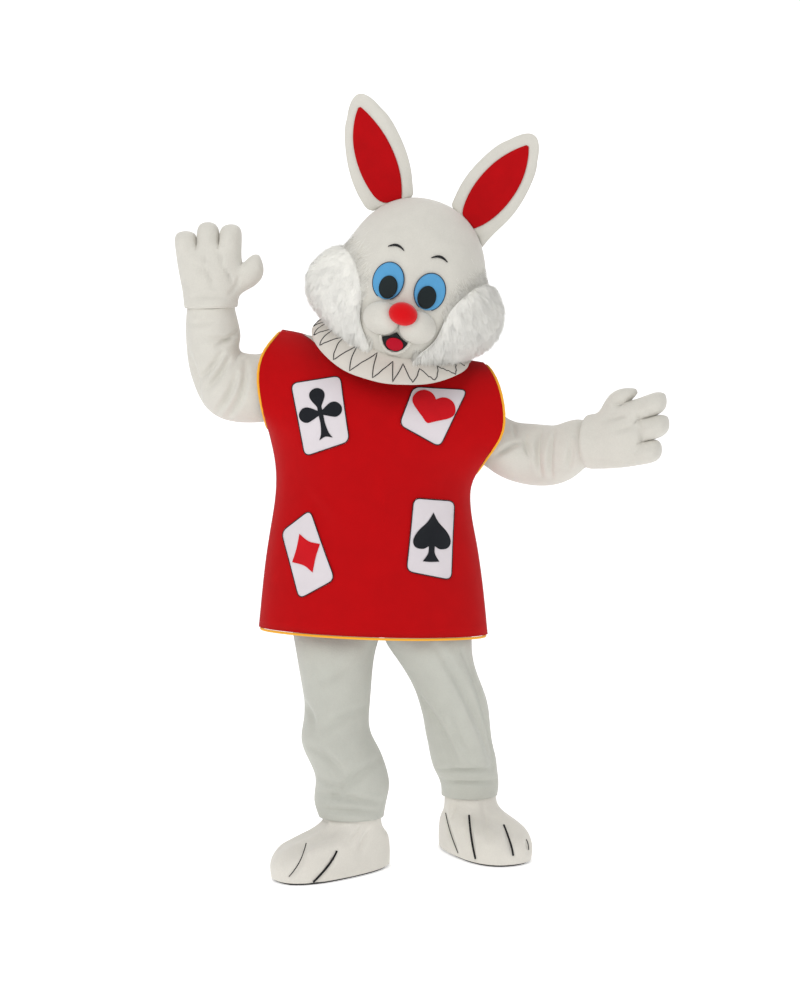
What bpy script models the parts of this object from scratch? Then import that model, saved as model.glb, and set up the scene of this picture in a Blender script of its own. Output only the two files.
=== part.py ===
"""Rabbit mascot costume as worn: plush suit, padded head, red tabard with card patches,
gloves and foot covers. Metres, Z up, front towards -Y. The origin is the middle of the
wearer's shoulder line and the floor is at z = -1.40. Left and right are as seen in front."""

import math

import bmesh
import bpy
import numpy as np
from mathutils import Matrix, Vector
from mathutils.bvhtree import BVHTree
from mathutils.geometry import delaunay_2d_cdt

for old in list(bpy.data.objects):
    bpy.data.objects.remove(old, do_unlink=True)
costume = bpy.data.collections.new("rabbit_costume")
bpy.context.scene.collection.children.link(costume)

FLOOR_Z = -1.40
SEAM_GAP = 0.0003
PLUSH_WALL = 0.003
FELT_WALL = 0.003
HEAD_WALL = 0.012

COLOURS = {
    "plush": (0.78, 0.77, 0.73, 0.9),
    "long_fur": (0.86, 0.85, 0.82, 0.95),
    "red_felt": (0.60, 0.01, 0.02, 0.9),
    "red_satin": (0.50, 0.01, 0.02, 0.7),
    "piping": (0.85, 0.38, 0.03, 0.6),
    "white_cloth": (0.80, 0.79, 0.75, 0.85),
    "black_cloth": (0.02, 0.02, 0.02, 0.85),
    "red_plush": (0.65, 0.01, 0.02, 0.8),
    "blue_felt": (0.09, 0.33, 0.62, 0.7),
    "pink_felt": (0.50, 0.01, 0.04, 0.7),
    "sole": (0.02, 0.02, 0.02, 0.7),
}
materials = {}
for colour_name, (red, green, blue, rough) in COLOURS.items():
    material = bpy.data.materials.new(colour_name)
    material.use_nodes = True
    shader = material.node_tree.nodes["Principled BSDF"]
    shader.inputs["Base Color"].default_value = (red, green, blue, 1.0)
    shader.inputs["Roughness"].default_value = rough
    materials[colour_name] = material


def add_solid(name, points, faces, material):
    mesh = bpy.data.meshes.new(name)
    mesh.from_pydata([tuple(map(float, p)) for p in points], [], [tuple(f) for f in faces])
    work = bmesh.new()
    work.from_mesh(mesh)
    bmesh.ops.recalc_face_normals(work, faces=work.faces)
    work.to_mesh(mesh)
    work.free()
    mesh.shade_smooth()
    mesh.materials.append(materials[material])
    solid = bpy.data.objects.new(name, mesh)
    costume.objects.link(solid)
    return solid


def grid_faces(rows, columns, around=False):
    """Faces between rows of points; the last column joins the first when around is set."""
    faces = []
    for i in range(rows - 1):
        for j in range(columns if around else columns - 1):
            k = (j + 1) % columns
            faces.append((i * columns + j, i * columns + k, (i + 1) * columns + k, (i + 1) * columns + j))
    return faces


def point_normals(points, faces):
    """Unit normals at the points, from the faces round each."""
    normals = np.zeros_like(points)
    for face in faces:
        corners = points[list(face)]
        turn = np.zeros(3)
        for a, b in zip(corners, np.roll(corners, -1, axis=0)):
            turn += np.cross(a - corners[0], b - corners[0])
        normals[list(face)] += turn
    return normals / np.maximum(np.linalg.norm(normals, axis=1, keepdims=True), 1e-12)


def thick(name, outer, inner, faces, material):
    """A closed wall between two surfaces with the same faces, with a rim along each free edge."""
    count = len(outer)
    solid = [tuple(face) for face in faces]
    solid += [tuple(count + i for i in reversed(face)) for face in faces]
    edges = {}
    for face in faces:
        for a, b in zip(face, tuple(face[1:]) + (face[0],)):
            edges.setdefault(frozenset((a, b)), []).append((a, b))
    for sides in edges.values():
        if len(sides) == 1:
            a, b = sides[0]
            solid.append((b, a, count + a, count + b))
    return add_solid(name, np.concatenate([outer, inner]), solid, material)


def inward(points, faces, wall, centre):
    """The points moved along their normals by wall, to the side where centre is."""
    normals = point_normals(points, faces)
    if np.sum(normals * (points - np.asarray(centre))) < 0:
        normals = -normals
    return points - normals * wall


def smooth_rows(table, steps):
    """Rows of a table read off at even steps along it, along a smooth curve."""
    table = np.asarray(table, float)
    at = np.linspace(0, len(table) - 1, steps)
    return np.array([row_at(table, s) for s in at])


def row_at(table, s):
    i = int(min(max(math.floor(s), 0), len(table) - 2))
    f = s - i
    p0, p1 = table[max(i - 1, 0)], table[i]
    p2, p3 = table[i + 1], table[min(i + 2, len(table) - 1)]
    return 0.5 * (
        2 * p1
        + (p2 - p0) * f
        + (2 * p0 - 5 * p1 + 4 * p2 - p3) * f * f
        + (3 * p1 - p0 - 3 * p2 + p3) * f**3
    )


# The torso of the plush suit: a front and a back cut as rows across the body

# left x, left z, right x, right z, half depth of the armhole, front depth, back depth
SUIT_ROWS = np.array(
    [
        (-0.222, 0.0697, 0.262, -0.0093, 0.0, 0.000, 0.000),
        (-0.226, 0.0435, 0.262, -0.0435, 0.040, 0.048, 0.044),
        (-0.230, 0.014, 0.261, -0.082, 0.066, 0.088, 0.083),
        (-0.233, -0.010, 0.259, -0.112, 0.082, 0.118, 0.110),
        (-0.236, -0.040, 0.255, -0.142, 0.088, 0.130, 0.120),
        (-0.238, -0.072, 0.250, -0.173, 0.086, 0.136, 0.125),
        (-0.238, -0.105, 0.243, -0.203, 0.075, 0.140, 0.128),
        (-0.236, -0.138, 0.234, -0.233, 0.052, 0.142, 0.130),
        (-0.232, -0.168, 0.222, -0.262, 0.0, 0.143, 0.130),
        (-0.224, -0.265, 0.218, -0.335, 0.0, 0.143, 0.128),
        (-0.215, -0.360, 0.216, -0.420, 0.0, 0.141, 0.126),
        (-0.220, -0.460, 0.228, -0.500, 0.0, 0.141, 0.130),
        (-0.232, -0.560, 0.245, -0.580, 0.0, 0.142, 0.138),
        (-0.236, -0.660, 0.260, -0.665, 0.0, 0.141, 0.142),
        (-0.230, -0.745, 0.268, -0.745, 0.0, 0.138, 0.140),
    ]
)
SUIT_ARMHOLE = 8
SUIT_NECK = {"middle": 0.02, "half": 0.25, "front": 2.6, "back": 1.2}


def body_point(rows, s, t, side, roundness=0.55):
    """A point of a body panel: row s, t from -1 at the left edge to 1; side -1 is the front."""
    lx, lz, rx, rz, edge, front, back = row_at(rows, s)
    depth = front if side < 0 else back
    edge = max(edge, SEAM_GAP / 2)
    depth = max(depth, edge)
    swell = max(math.cos(t * math.pi / 2), 0.0) ** roundness
    x = (lx + rx) / 2 + (rx - lx) / 2 * t
    z = (lz + rz) / 2 + (rz - lz) / 2 * t
    return np.array([x, side * (depth * swell + edge * (1 - swell) ** 1.5), z])


def neck_row(neck, t, side):
    """How many rows down the neck hole reaches at t."""
    across = (t - neck["middle"]) / neck["half"]
    if abs(across) >= 1:
        return 0.0
    return neck["front" if side < 0 else "back"] * math.sqrt(1 - across * across)


def body_panel(name, rows, neck, side, columns, lines, wall, material):
    """A front or back panel. Lines are the rows of points, columns the points across."""
    points = []
    last = len(rows) - 1
    for s in lines:
        for t in columns:
            start = neck_row(neck, t, side)
            down = start + (last - start) * (s / last) if start > 0 else s
            points.append(body_point(rows, down, t, side))
    points = np.array(points)
    faces = [half for a, b, c, d in grid_faces(len(lines), len(columns)) for half in ((a, b, c), (a, c, d))]
    centre = points.mean(axis=0) * (1, 0, 1)
    inner = inward(points, faces, wall, centre)
    inner[:, 1] = np.where(inner[:, 1] * side < SEAM_GAP / 2, side * SEAM_GAP / 2, inner[:, 1])
    return thick(name, points, inner, faces, material)


suit_columns = [-1, -0.93, -0.75, -0.40, 0.0, 0.40, 0.75, 0.93, 1]
suit_lines = [0, 1, 2, 3, 4, 5, 6, 7, 8, 9.5, 11, 12.5, 14]
for name, side in (("suit_front", -1), ("suit_back", 1)):
    body_panel(name, SUIT_ROWS, SUIT_NECK, side, suit_columns, suit_lines, PLUSH_WALL, "plush")

# The sleeves: tubes from the armhole edge of the suit through the arm's bend to the wrist

# upper or inner side x, z; lower or outer side x, z; middle y; half depth
SLEEVE_LEFT = [
    (-0.305, 0.014, -0.300, -0.178, 0.000, 0.093),
    (-0.338, 0.013, -0.360, -0.180, 0.005, 0.093),
    (-0.360, 0.016, -0.420, -0.172, 0.008, 0.091),
    (-0.371, 0.025, -0.467, -0.140, 0.007, 0.088),
    (-0.371, 0.042, -0.495, -0.085, 0.003, 0.083),
    (-0.366, 0.062, -0.512, -0.020, -0.004, 0.078),
    (-0.369, 0.083, -0.519, 0.045, -0.013, 0.075),
    (-0.374, 0.107, -0.518, 0.098, -0.023, 0.072),
    (-0.3785, 0.124, -0.5155, 0.122, -0.028, 0.0685),
    (-0.3815, 0.144, -0.5125, 0.144, -0.033, 0.0655),
]
SLEEVE_RIGHT = [
    (0.318, -0.118, 0.296, -0.290, 0.000, 0.083),
    (0.352, -0.158, 0.338, -0.325, 0.008, 0.083),
    (0.395, -0.178, 0.385, -0.343, 0.016, 0.083),
    (0.438, -0.177, 0.436, -0.353, 0.018, 0.085),
    (0.475, -0.184, 0.481, -0.353, 0.000, 0.084),
    (0.501, -0.182, 0.510, -0.344, -0.026, 0.081),
    (0.520, -0.174, 0.532, -0.328, -0.056, 0.077),
    (0.540, -0.166, 0.553, -0.308, -0.078, 0.070),
    (0.558, -0.168, 0.571, -0.297, -0.091, 0.064),
    (0.573, -0.172, 0.586, -0.293, -0.100, 0.058),
    (0.587, -0.1675, 0.599, -0.2935, -0.108, 0.0605),
]
SLEEVE_POINTS = 2 * SUIT_ARMHOLE


def armhole_loop(t):
    """The points round the suit's armhole, from the shoulder down the front and up the back."""
    front = [body_point(SUIT_ROWS, s, t, -1) for s in range(SUIT_ARMHOLE + 1)]
    back = [body_point(SUIT_ROWS, s, t, 1) for s in range(SUIT_ARMHOLE - 1, 0, -1)]
    loop = np.array(front + back)
    loop[:, 0] += t * 2 * SEAM_GAP
    return loop


def bent_ring(upper, lower, along, middle_y, depth, turn):
    """A round ring between an upper and a lower side, square to the way the arm goes."""
    centre = (upper + lower) / 2
    centre[1] = middle_y
    rise = (upper - lower) / 2
    rise[1] = 0.0
    across = np.cross(along, rise)
    across *= depth / np.linalg.norm(across)
    if across[1] > 0:
        across = -across
    return np.array([centre + rise * math.cos(a) + across * math.sin(a) for a in turn])


def sleeve(name, table, t, folds):
    loop = armhole_loop(t)
    table = smooth_rows(table, 12)
    uppers = np.array([(r[0], r[4], r[1]) for r in table])
    lowers = np.array([(r[2], r[4], r[3]) for r in table])
    middles = (uppers + lowers) / 2
    along = np.gradient(middles, axis=0)
    turn = np.arange(SLEEVE_POINTS) * 2 * math.pi / SLEEVE_POINTS
    rings = [loop]
    for i, row in enumerate(table):
        rings.append(bent_ring(uppers[i], lowers[i], along[i], row[4], row[5], turn))
    inner = []
    for ring in rings:
        centre = ring.mean(axis=0)
        reach = np.linalg.norm(ring - centre, axis=1, keepdims=True)
        inner.append(centre + (ring - centre) * (1 - PLUSH_WALL / reach))
    for i, (ring, middle) in enumerate(zip(rings[1:], middles)):
        for place, angle, depth in folds:
            near = math.exp(-(((i - place) / 0.6) ** 2))
            face = np.maximum(np.cos(turn - math.radians(angle)), 0)[:, None]
            ring += (ring - middle) * near * face * depth
    outer = np.concatenate(rings)
    faces = grid_faces(len(rings), SLEEVE_POINTS, around=True)
    thick(name, outer, np.concatenate(inner), faces, "plush")


# ring, way round in degrees, share of the radius
sleeve("sleeve_left", SLEEVE_LEFT, -1, [(2, 60, 0.03), (4, 80, 0.04), (6, 150, 0.04), (8, 100, 0.03)])
sleeve("sleeve_right", SLEEVE_RIGHT, 1, [(2, 90, 0.04), (4, 60, 0.04), (6, 110, 0.04), (8, 140, 0.03)])

# The trouser legs: tubes from the crotch line of the suit to the ankles

LEG_POINTS = 16
# z, left x, right x, middle y, half depth
LEG_LEFT = [
    (-0.7456, -0.230, 0.0194, 0.002, 0.112),
    (-0.785, -0.222, 0.008, 0.000, 0.120),
    (-0.832, -0.214, -0.003, -0.005, 0.118),
    (-0.903, -0.201, -0.008, -0.010, 0.108),
    (-0.964, -0.191, -0.012, -0.015, 0.100),
    (-1.012, -0.198, -0.016, -0.020, 0.098),
    (-1.048, -0.204, 0.002, -0.022, 0.103),
    (-1.085, -0.190, 0.022, -0.025, 0.102),
    (-1.128, -0.165, 0.036, -0.028, 0.099),
    (-1.165, -0.163, 0.041, -0.030, 0.098),
    (-1.205, -0.171, 0.034, -0.030, 0.095),
    (-1.2495, -0.150, 0.027, -0.030, 0.087),
]
LEG_RIGHT = [
    (-0.7456, 0.0206, 0.268, 0.002, 0.112),
    (-0.785, 0.028, 0.270, 0.005, 0.120),
    (-0.830, 0.062, 0.271, 0.015, 0.118),
    (-0.895, 0.100, 0.292, 0.035, 0.106),
    (-0.950, 0.120, 0.313, 0.055, 0.102),
    (-1.023, 0.134, 0.323, 0.090, 0.099),
    (-1.085, 0.147, 0.331, 0.120, 0.097),
    (-1.130, 0.155, 0.346, 0.145, 0.097),
    (-1.165, 0.168, 0.343, 0.165, 0.093),
    (-1.200, 0.184, 0.352, 0.187, 0.090),
    (-1.238, 0.190, 0.349, 0.205, 0.084),
]


def leg(name, table, inner_side, folds):
    """A leg tube; its first rings are flat on the side towards the other leg."""
    table = smooth_rows(table, 13)
    outer, inner = [], []
    for i, (z, left, right, middle_y, depth) in enumerate(table):
        flat = max(1 - i / 3.0, 0.0)
        for j in range(LEG_POINTS):
            a = 2 * math.pi * j / LEG_POINTS
            c, s = math.cos(a), math.sin(a)
            if c * inner_side > 0:
                c = math.copysign(abs(c) ** (1 - 0.6 * flat), c)
                s = math.copysign(abs(s) ** (1 - 0.5 * flat), s)
            half = (right - left) / 2
            inside = np.array([(left + right) / 2 + half * c, middle_y + depth * s, z])
            swell = 1.0
            for place, angle, share, slope in folds:
                level = i - place - slope * math.sin(a - math.radians(angle))
                facing = max(math.cos(a - math.radians(angle)), 0.0)
                swell += share * facing * math.exp(-((level / 0.7) ** 2))
            middle = np.array([(left + right) / 2, middle_y, z])
            reach = np.linalg.norm(inside - middle)
            inner.append(middle + (inside - middle) * (1 - PLUSH_WALL / reach))
            outer.append(middle + (inside - middle) * (swell if i > 1 else 1.0))
    faces = grid_faces(len(table), LEG_POINTS, around=True)
    thick(name, np.array(outer), np.array(inner), faces, "plush")


# ring, way round in degrees, share of the radius, how far it slopes
leg("leg_left", LEG_LEFT, 1, [(6, 200, 0.05, 1.5), (8, 300, 0.05, -1.0), (10, 20, 0.05, 0.8),
                              (12, 180, 0.06, 0.5), (13, 280, 0.04, 0.0)])
leg("leg_right", LEG_RIGHT, -1, [(5, 20, 0.05, 1.5), (8, 250, 0.05, -1.0), (10, 350, 0.05, 0.8),
                                 (12, 180, 0.06, -0.5), (13, 270, 0.05, 0.0)])

# The foot covers: big padded shoes with three grooves between the toes, on flat soles

FOOT_POINTS = 20
SOLE_THICK = 0.006
# share of the way in to the ankle, height over the sole
FOOT_RISE = [(0.00, 0.000), (-0.05, 0.024), (-0.03, 0.050), (0.09, 0.076), (0.30, 0.090),
             (0.55, 0.101), (0.80, 0.113), (1.00, 0.132), (1.00, 0.170)]
FEET = {
    "left": {"middle": (-0.115, -0.055), "aim": (-0.766, -0.643), "length": 0.375, "width": 0.196,
             "ankle": (-0.0615, -0.030), "ankle_radius": 0.0795, "toes": (-0.34, 0.36)},
    "right": {"middle": (0.303, 0.168), "aim": (0.485, -0.8745), "length": 0.36, "width": 0.214,
              "ankle": (0.2695, 0.2035), "ankle_radius": 0.0745, "toes": (-0.55, -0.05, 0.45)},
}


def sole_ring(foot, grow, count=FOOT_POINTS):
    """The edge of the sole, wider at the toes, as plan points."""
    aim = np.array(foot["aim"])
    side = np.array((-aim[1], aim[0]))
    ring = []
    for j in range(count):
        a = 2 * math.pi * j / count
        along = foot["length"] / 2 * math.copysign(abs(math.cos(a)) ** 0.85, math.cos(a))
        wide = foot["width"] / 2 * (0.90 + 0.11 * math.cos(a))
        across = wide * math.copysign(abs(math.sin(a)) ** 0.80, math.sin(a))
        ring.append(np.array(foot["middle"]) + aim * (along + grow * math.cos(a))
                    + side * (across + grow * math.sin(a)))
    return ring


def foot_cover(name, foot):
    ankle = np.array(foot["ankle"])
    aim = np.array(foot["aim"])
    side = np.array((-aim[1], aim[0]))
    edge = sole_ring(foot, 0.0)
    outer = []
    for share, rise in FOOT_RISE:
        for j, point in enumerate(edge):
            a = 2 * math.pi * j / FOOT_POINTS
            ring = ankle + foot["ankle_radius"] * (aim * math.cos(a) + side * math.sin(a))
            plan = point + (ring - point) * share
            height = rise
            if math.cos(a) > 0.3 and 0.0 < share < 1.0 or share < 0:
                across = np.dot(point - np.array(foot["middle"]), side) / (foot["width"] / 2)
                for toe in foot["toes"]:
                    groove = math.exp(-(((across - toe) / 0.13) ** 2)) * max(math.cos(a), 0.0)
                    height -= 0.012 * groove * (share > 0)
                    plan = plan - aim * 0.008 * groove
            outer.append((plan[0], plan[1], FLOOR_Z + SOLE_THICK + SEAM_GAP + height))
    outer = np.array(outer)
    faces = grid_faces(len(FOOT_RISE), FOOT_POINTS, around=True)
    centre = (foot["middle"][0], foot["middle"][1], FLOOR_Z + 0.05)
    inner = inward(outer, faces, PLUSH_WALL, centre)
    inner[:FOOT_POINTS, 2] = outer[:FOOT_POINTS, 2]
    inner[-FOOT_POINTS:, 2] = outer[-FOOT_POINTS:, 2]
    thick(name, outer, inner, faces, "plush")


def sole_plate(name, foot):
    top = np.array([(p[0], p[1], FLOOR_Z + SOLE_THICK) for p in sole_ring(foot, -0.002)])
    bottom = top - (0, 0, SOLE_THICK)
    count = len(top)
    faces = [tuple(range(count)), tuple(range(2 * count - 1, count - 1, -1))]
    faces += [(j, (j + 1) % count, count + (j + 1) % count, count + j) for j in range(count)]
    solid = add_solid(name, np.concatenate([top, bottom]), faces, "sole")
    solid.data.shade_flat()


for where, foot in FEET.items():
    foot_cover("foot_" + where, foot)
    sole_plate("sole_" + where, foot)

# The tabard: a front and a back of red felt, sewn at the shoulders and below the armholes

# left x, left z, right x, right z, half depth of the armhole, front depth, back depth
TABARD_ROWS = np.array(
    [
        (-0.254, 0.079, 0.298, -0.011, 0.0, 0.000, 0.000),
        (-0.272, 0.052, 0.319, -0.036, 0.052, 0.068, 0.064),
        (-0.297, 0.018, 0.336, -0.078, 0.088, 0.112, 0.108),
        (-0.311, -0.024, 0.347, -0.130, 0.105, 0.142, 0.134),
        (-0.313, -0.068, 0.350, -0.178, 0.108, 0.158, 0.144),
        (-0.306, -0.120, 0.341, -0.220, 0.106, 0.165, 0.148),
        (-0.296, -0.168, 0.306, -0.268, 0.090, 0.168, 0.150),
        (-0.291, -0.206, 0.263, -0.338, 0.0, 0.170, 0.150),
        (-0.270, -0.290, 0.261, -0.392, 0.0, 0.171, 0.148),
        (-0.271, -0.375, 0.268, -0.450, 0.0, 0.171, 0.147),
        (-0.285, -0.455, 0.279, -0.500, 0.0, 0.171, 0.150),
        (-0.299, -0.540, 0.290, -0.570, 0.0, 0.172, 0.156),
        (-0.309, -0.630, 0.300, -0.650, 0.0, 0.173, 0.161),
        (-0.319, -0.737, 0.310, -0.758, 0.0, 0.174, 0.165),
    ]
)
TABARD_ARMHOLE = 7
TABARD_NECK = {"middle": 0.045, "half": 0.76, "front": 2.3, "back": 1.2}

tabard_columns = [-1, -0.94, -0.84, -0.70, -0.50, -0.26, 0.0, 0.26, 0.50, 0.70, 0.84, 0.94, 1]
tabard_panels = {}
for name, side in (("tabard_front", -1), ("tabard_back", 1)):
    tabard_panels[name] = body_panel(name, TABARD_ROWS, TABARD_NECK, side, tabard_columns,
                                     range(14), FELT_WALL, "red_felt")

# The yellow piping on the tabard's armholes and hem: cord laid just outside the edges

CORD_RADIUS = 0.004
CORD_SIDES = 6


def cord(name, path, material, closed=True, radius=CORD_RADIUS):
    """A round cord along a path; an open one has flat ends."""
    path = np.asarray(path, float)
    along = (np.roll(path, -1, axis=0) - np.roll(path, 1, axis=0)) if closed else np.gradient(path, axis=0)
    along /= np.linalg.norm(along, axis=1, keepdims=True)
    middle = path.mean(axis=0)
    points = []
    for place, forward in zip(path, along):
        out = place - middle
        out -= forward * np.dot(out, forward)
        out /= np.linalg.norm(out)
        over = np.cross(forward, out)
        for j in range(CORD_SIDES):
            a = 2 * math.pi * j / CORD_SIDES
            points.append(place + radius * (out * math.cos(a) + over * math.sin(a)))
    count = len(path)
    faces = grid_faces(count, CORD_SIDES, around=True)
    if closed:
        for j in range(CORD_SIDES):
            k = (j + 1) % CORD_SIDES
            last = (count - 1) * CORD_SIDES
            faces.append((last + j, last + k, k, j))
    else:
        faces.append(tuple(range(CORD_SIDES)))
        faces.append(tuple(range(count * CORD_SIDES - 1, (count - 1) * CORD_SIDES - 1, -1)))
    return add_solid(name, points, faces, material)


def armhole_cord(name, t):
    """The cord round an armhole, outside the panels' edges and level with them."""
    edges, ways = [], []
    inside = t * 0.94
    loop = [(k, -1) for k in range(TABARD_ARMHOLE + 1)]
    loop += [(k, 1) for k in range(TABARD_ARMHOLE - 1, 0, -1)]
    for row, side in loop:
        edge = body_point(TABARD_ROWS, row, t, side)
        way = edge - body_point(TABARD_ROWS, row, inside, side)
        if row in (0, TABARD_ARMHOLE):
            edge[1], way[1] = 0.0, 0.0
        edges.append(edge)
        ways.append(way)
    edges, ways = np.array(edges), np.array(ways)
    along = np.roll(edges, -1, axis=0) - np.roll(edges, 1, axis=0)
    along /= np.linalg.norm(along, axis=1, keepdims=True)
    ways -= along * np.sum(ways * along, axis=1, keepdims=True)
    ways /= np.linalg.norm(ways, axis=1, keepdims=True)
    cord(name, edges + ways * CORD_OUT, "piping")


CORD_OUT = CORD_RADIUS + 0.0004
armhole_cord("armhole_piping_left", -1)
armhole_cord("armhole_piping_right", 1)
hem = [body_point(TABARD_ROWS, 13, t, -1) for t in tabard_columns]
hem += [body_point(TABARD_ROWS, 13, t, 1) for t in tabard_columns[-2:0:-1]]
cord("hem_piping", np.array(hem) - (0, 0, CORD_OUT), "piping")

# The four card patches with their suit signs, laid one on the other on the tabard's front

CARD_THICK = 0.0012
# corners of each card, seen from the front: upper right, upper left, lower left, lower right
CARDS = {
    "club": ((-0.090, -0.050), (-0.225, -0.071), (-0.187, -0.270), (-0.064, -0.229)),
    "heart": ((0.252, -0.088), (0.104, -0.080), (0.065, -0.184), (0.176, -0.245)),
    "diamond": ((-0.172, -0.409), (-0.254, -0.472), (-0.202, -0.652), (-0.103, -0.596)),
    "spade": ((0.218, -0.388), (0.105, -0.377), (0.085, -0.574), (0.208, -0.602)),
}
CARD_CORNER = 0.020


def surface_of(solid):
    """A tree for finding where a line meets the solid."""
    mesh = solid.data
    return BVHTree.FromPolygons([v.co for v in mesh.vertices], [tuple(f.vertices) for f in mesh.polygons])


def filled(outline, spacing):
    """Points and triangles inside a closed outline, with a grid of points within it."""
    outline = np.asarray(outline)
    after = np.roll(outline, -1, axis=0)
    low, high = outline.min(axis=0), outline.max(axis=0)
    inside = []
    for x in np.arange(low[0] + spacing / 2, high[0], spacing):
        for z in np.arange(low[1] + spacing / 2, high[1], spacing):
            spot, crossings, near = np.array((x, z)), 0, spacing
            for a, b in zip(outline, after):
                if (a[1] > z) != (b[1] > z) and x < a[0] + (z - a[1]) / (b[1] - a[1]) * (b[0] - a[0]):
                    crossings += 1
                share = np.clip((spot - a) @ (b - a) / ((b - a) @ (b - a)), 0, 1)
                near = min(near, np.linalg.norm(a + (b - a) * share - spot))
            if crossings % 2 == 1 and near > spacing * 0.45:
                inside.append(spot)
    plan = [Vector(p) for p in outline] + [Vector(p) for p in inside]
    points, _, faces, _, _, _ = delaunay_2d_cdt(plan, [], [list(range(len(outline)))], 1, 1e-7)
    return [tuple(p) for p in points], [tuple(face) for face in faces]


def patch(name, outline, lift, material, ground, spacing):
    """A thin patch of an outline, laid in front of a solid."""
    tree = surface_of(ground)
    plan, faces = filled(outline, spacing)
    under = np.array([(x, tree.ray_cast((x, -1.0, z), (0, 1, 0))[0][1] - lift, z) for x, z in plan])
    # Between its points the patch is straight, so a face that would dip in is moved out
    for _ in range(8):
        for face in faces:
            corners = list(face)
            groups = [corners] + [[i, k] for i in corners for k in corners if i < k]
            for group in groups:
                x, y, z = under[group].mean(axis=0)
                dip = tree.ray_cast((x, -1.0, z), (0, 1, 0))[0][1] - 0.8 * lift - y
                if dip < 0:
                    under[group, 1] += dip
    return thick(name, under - (0, CARD_THICK, 0), under, faces, material)


def placed(points, x, z, turn):
    c, s = math.cos(math.radians(turn)), math.sin(math.radians(turn))
    return [(x + px * c + pz * s, z - px * s + pz * c) for px, pz in points]


def card_outline(corners, steps=2, along=3):
    """A four-cornered card with round corners and points along its sides."""
    corners = np.array(corners)
    points = []
    for i in range(4):
        before, here, after = corners[i - 1], corners[i], corners[(i + 1) % 4]
        start = here + (before - here) / np.linalg.norm(before - here) * CARD_CORNER
        end = here + (after - here) / np.linalg.norm(after - here) * CARD_CORNER
        for share in np.linspace(0, 1, steps + 1):
            points.append(start * (1 - share) ** 2 + here * 2 * share * (1 - share) + end * share**2)
        last = after + (here - after) / np.linalg.norm(here - after) * CARD_CORNER
        for share in np.linspace(0, 1, along)[1:-1]:
            points.append(end + (last - end) * share)
    return points


# one half of each sign from the top down, in shares of its size; the other mirrors it
SIGN_HALVES = {
    "club": [(0, 1), (0.17, 0.95), (0.28, 0.83), (0.29, 0.66), (0.20, 0.47), (0.09, 0.28), (0.09, 0.13),
             (0.30, 0.27), (0.48, 0.35), (0.66, 0.33), (0.80, 0.20), (0.84, 0.04), (0.77, -0.13),
             (0.60, -0.23), (0.42, -0.20), (0.09, -0.06), (0.09, -0.40), (0.15, -0.75), (0.26, -0.98),
             (0, -0.89)],
    "heart": [(0, 0.40), (0.10, 0.50), (0.25, 0.60), (0.45, 0.64), (0.68, 0.60), (0.88, 0.45), (1.0, 0.20),
              (0.98, 0), (0.85, -0.17), (0.60, -0.35), (0.30, -0.54), (0, -0.72)],
    "spade": [(0, 1), (0.22, 0.62), (0.60, 0.22), (0.77, -0.15), (0.66, -0.42), (0.35, -0.48),
              (0.12, -0.36), (0.14, -0.66), (0.34, -0.98), (0, -1.0)],
}
# the diamond sign leans, so its whole outline is given
DIAMOND = [(-0.36, 1.0), (-0.52, 0.21), (-0.75, -0.50), (-0.11, -0.65), (0.36, -1.0), (0.52, -0.21),
           (0.75, 0.50), (0.14, 0.63)]
# size, middle x and z on the tabard, turn
SIGNS = {"club": (0.070, -0.1425, -0.154, -12), "heart": (0.060, 0.157, -0.138, 21),
         "diamond": (0.051, -0.183, -0.527, 0), "spade": (0.066, 0.1555, -0.484, 3)}


def sign_outline(sign):
    if sign == "diamond":
        return DIAMOND
    half = SIGN_HALVES[sign]
    return [(-x, z) for x, z in half] + half[-2:0:-1]


SIGN_COLOUR = {"club": "black_cloth", "heart": "red_plush", "diamond": "red_plush", "spade": "black_cloth"}
CARD_LIFT, SIGN_LIFT = 0.0018, 0.0014
for sign, corners in CARDS.items():
    card = patch("card_" + sign, card_outline(corners), CARD_LIFT, "white_cloth",
                 tabard_panels["tabard_front"], 0.032)
    size, x, z, turn = SIGNS[sign]
    outline = [(px * size, pz * size) for px, pz in sign_outline(sign)]
    patch("sign_" + sign, placed(outline, x, z, turn), SIGN_LIFT, SIGN_COLOUR[sign], card, 0.022)

# The gloves: puffy three-fingered mitts, open at the wrist

GLOVE_WALL = 0.0025
# along the hand, half width, palm side, back side, middle across
PALM_ROWS = [
    (0.000, 0.078, 0.077, 0.077, 0.000),
    (0.036, 0.075, 0.0616, 0.0616, 0.000),
    (0.106, 0.087, 0.058, 0.054, 0.000),
    (0.150, 0.088, 0.050, 0.046, -0.002),
]
FINGER_LENGTHS = (0.062, 0.088, 0.080)
# share of the length, half width as a share of a third of the palm, half depth
FINGER_RINGS = [(0.55, 0.56, 0.044), (1.0, 0.49, 0.036)]
FINGER_LEAN = 0.05
# the thumb leaves the palm between two rows; out across, low along, high along, half depth
THUMB_ROW, THUMB_SIDE = 1, 3
THUMB_RINGS = [(0.120, 0.046, 0.142, 0.038), (0.146, 0.090, 0.154, 0.028)]
# stretch is a share along the hand, bend a slope towards the thumb's side, thumb a share of its reach
HANDS = {
    "left": {"wrist": (-0.447, -0.031, 0.1417), "across": (1, 0, 0.02), "along": (0.0, -0.10, 1.0),
             "stretch": 0.96, "bend": 0.0, "thumb": 1.0},
    "right": {"wrist": (0.5812, -0.1014, -0.2283), "across": (-0.02, -0.06, 1.0),
              "along": (0.87, -0.48, 0.19), "stretch": 0.93, "bend": 0.26,
              "thumb": 0.62},
}


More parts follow.
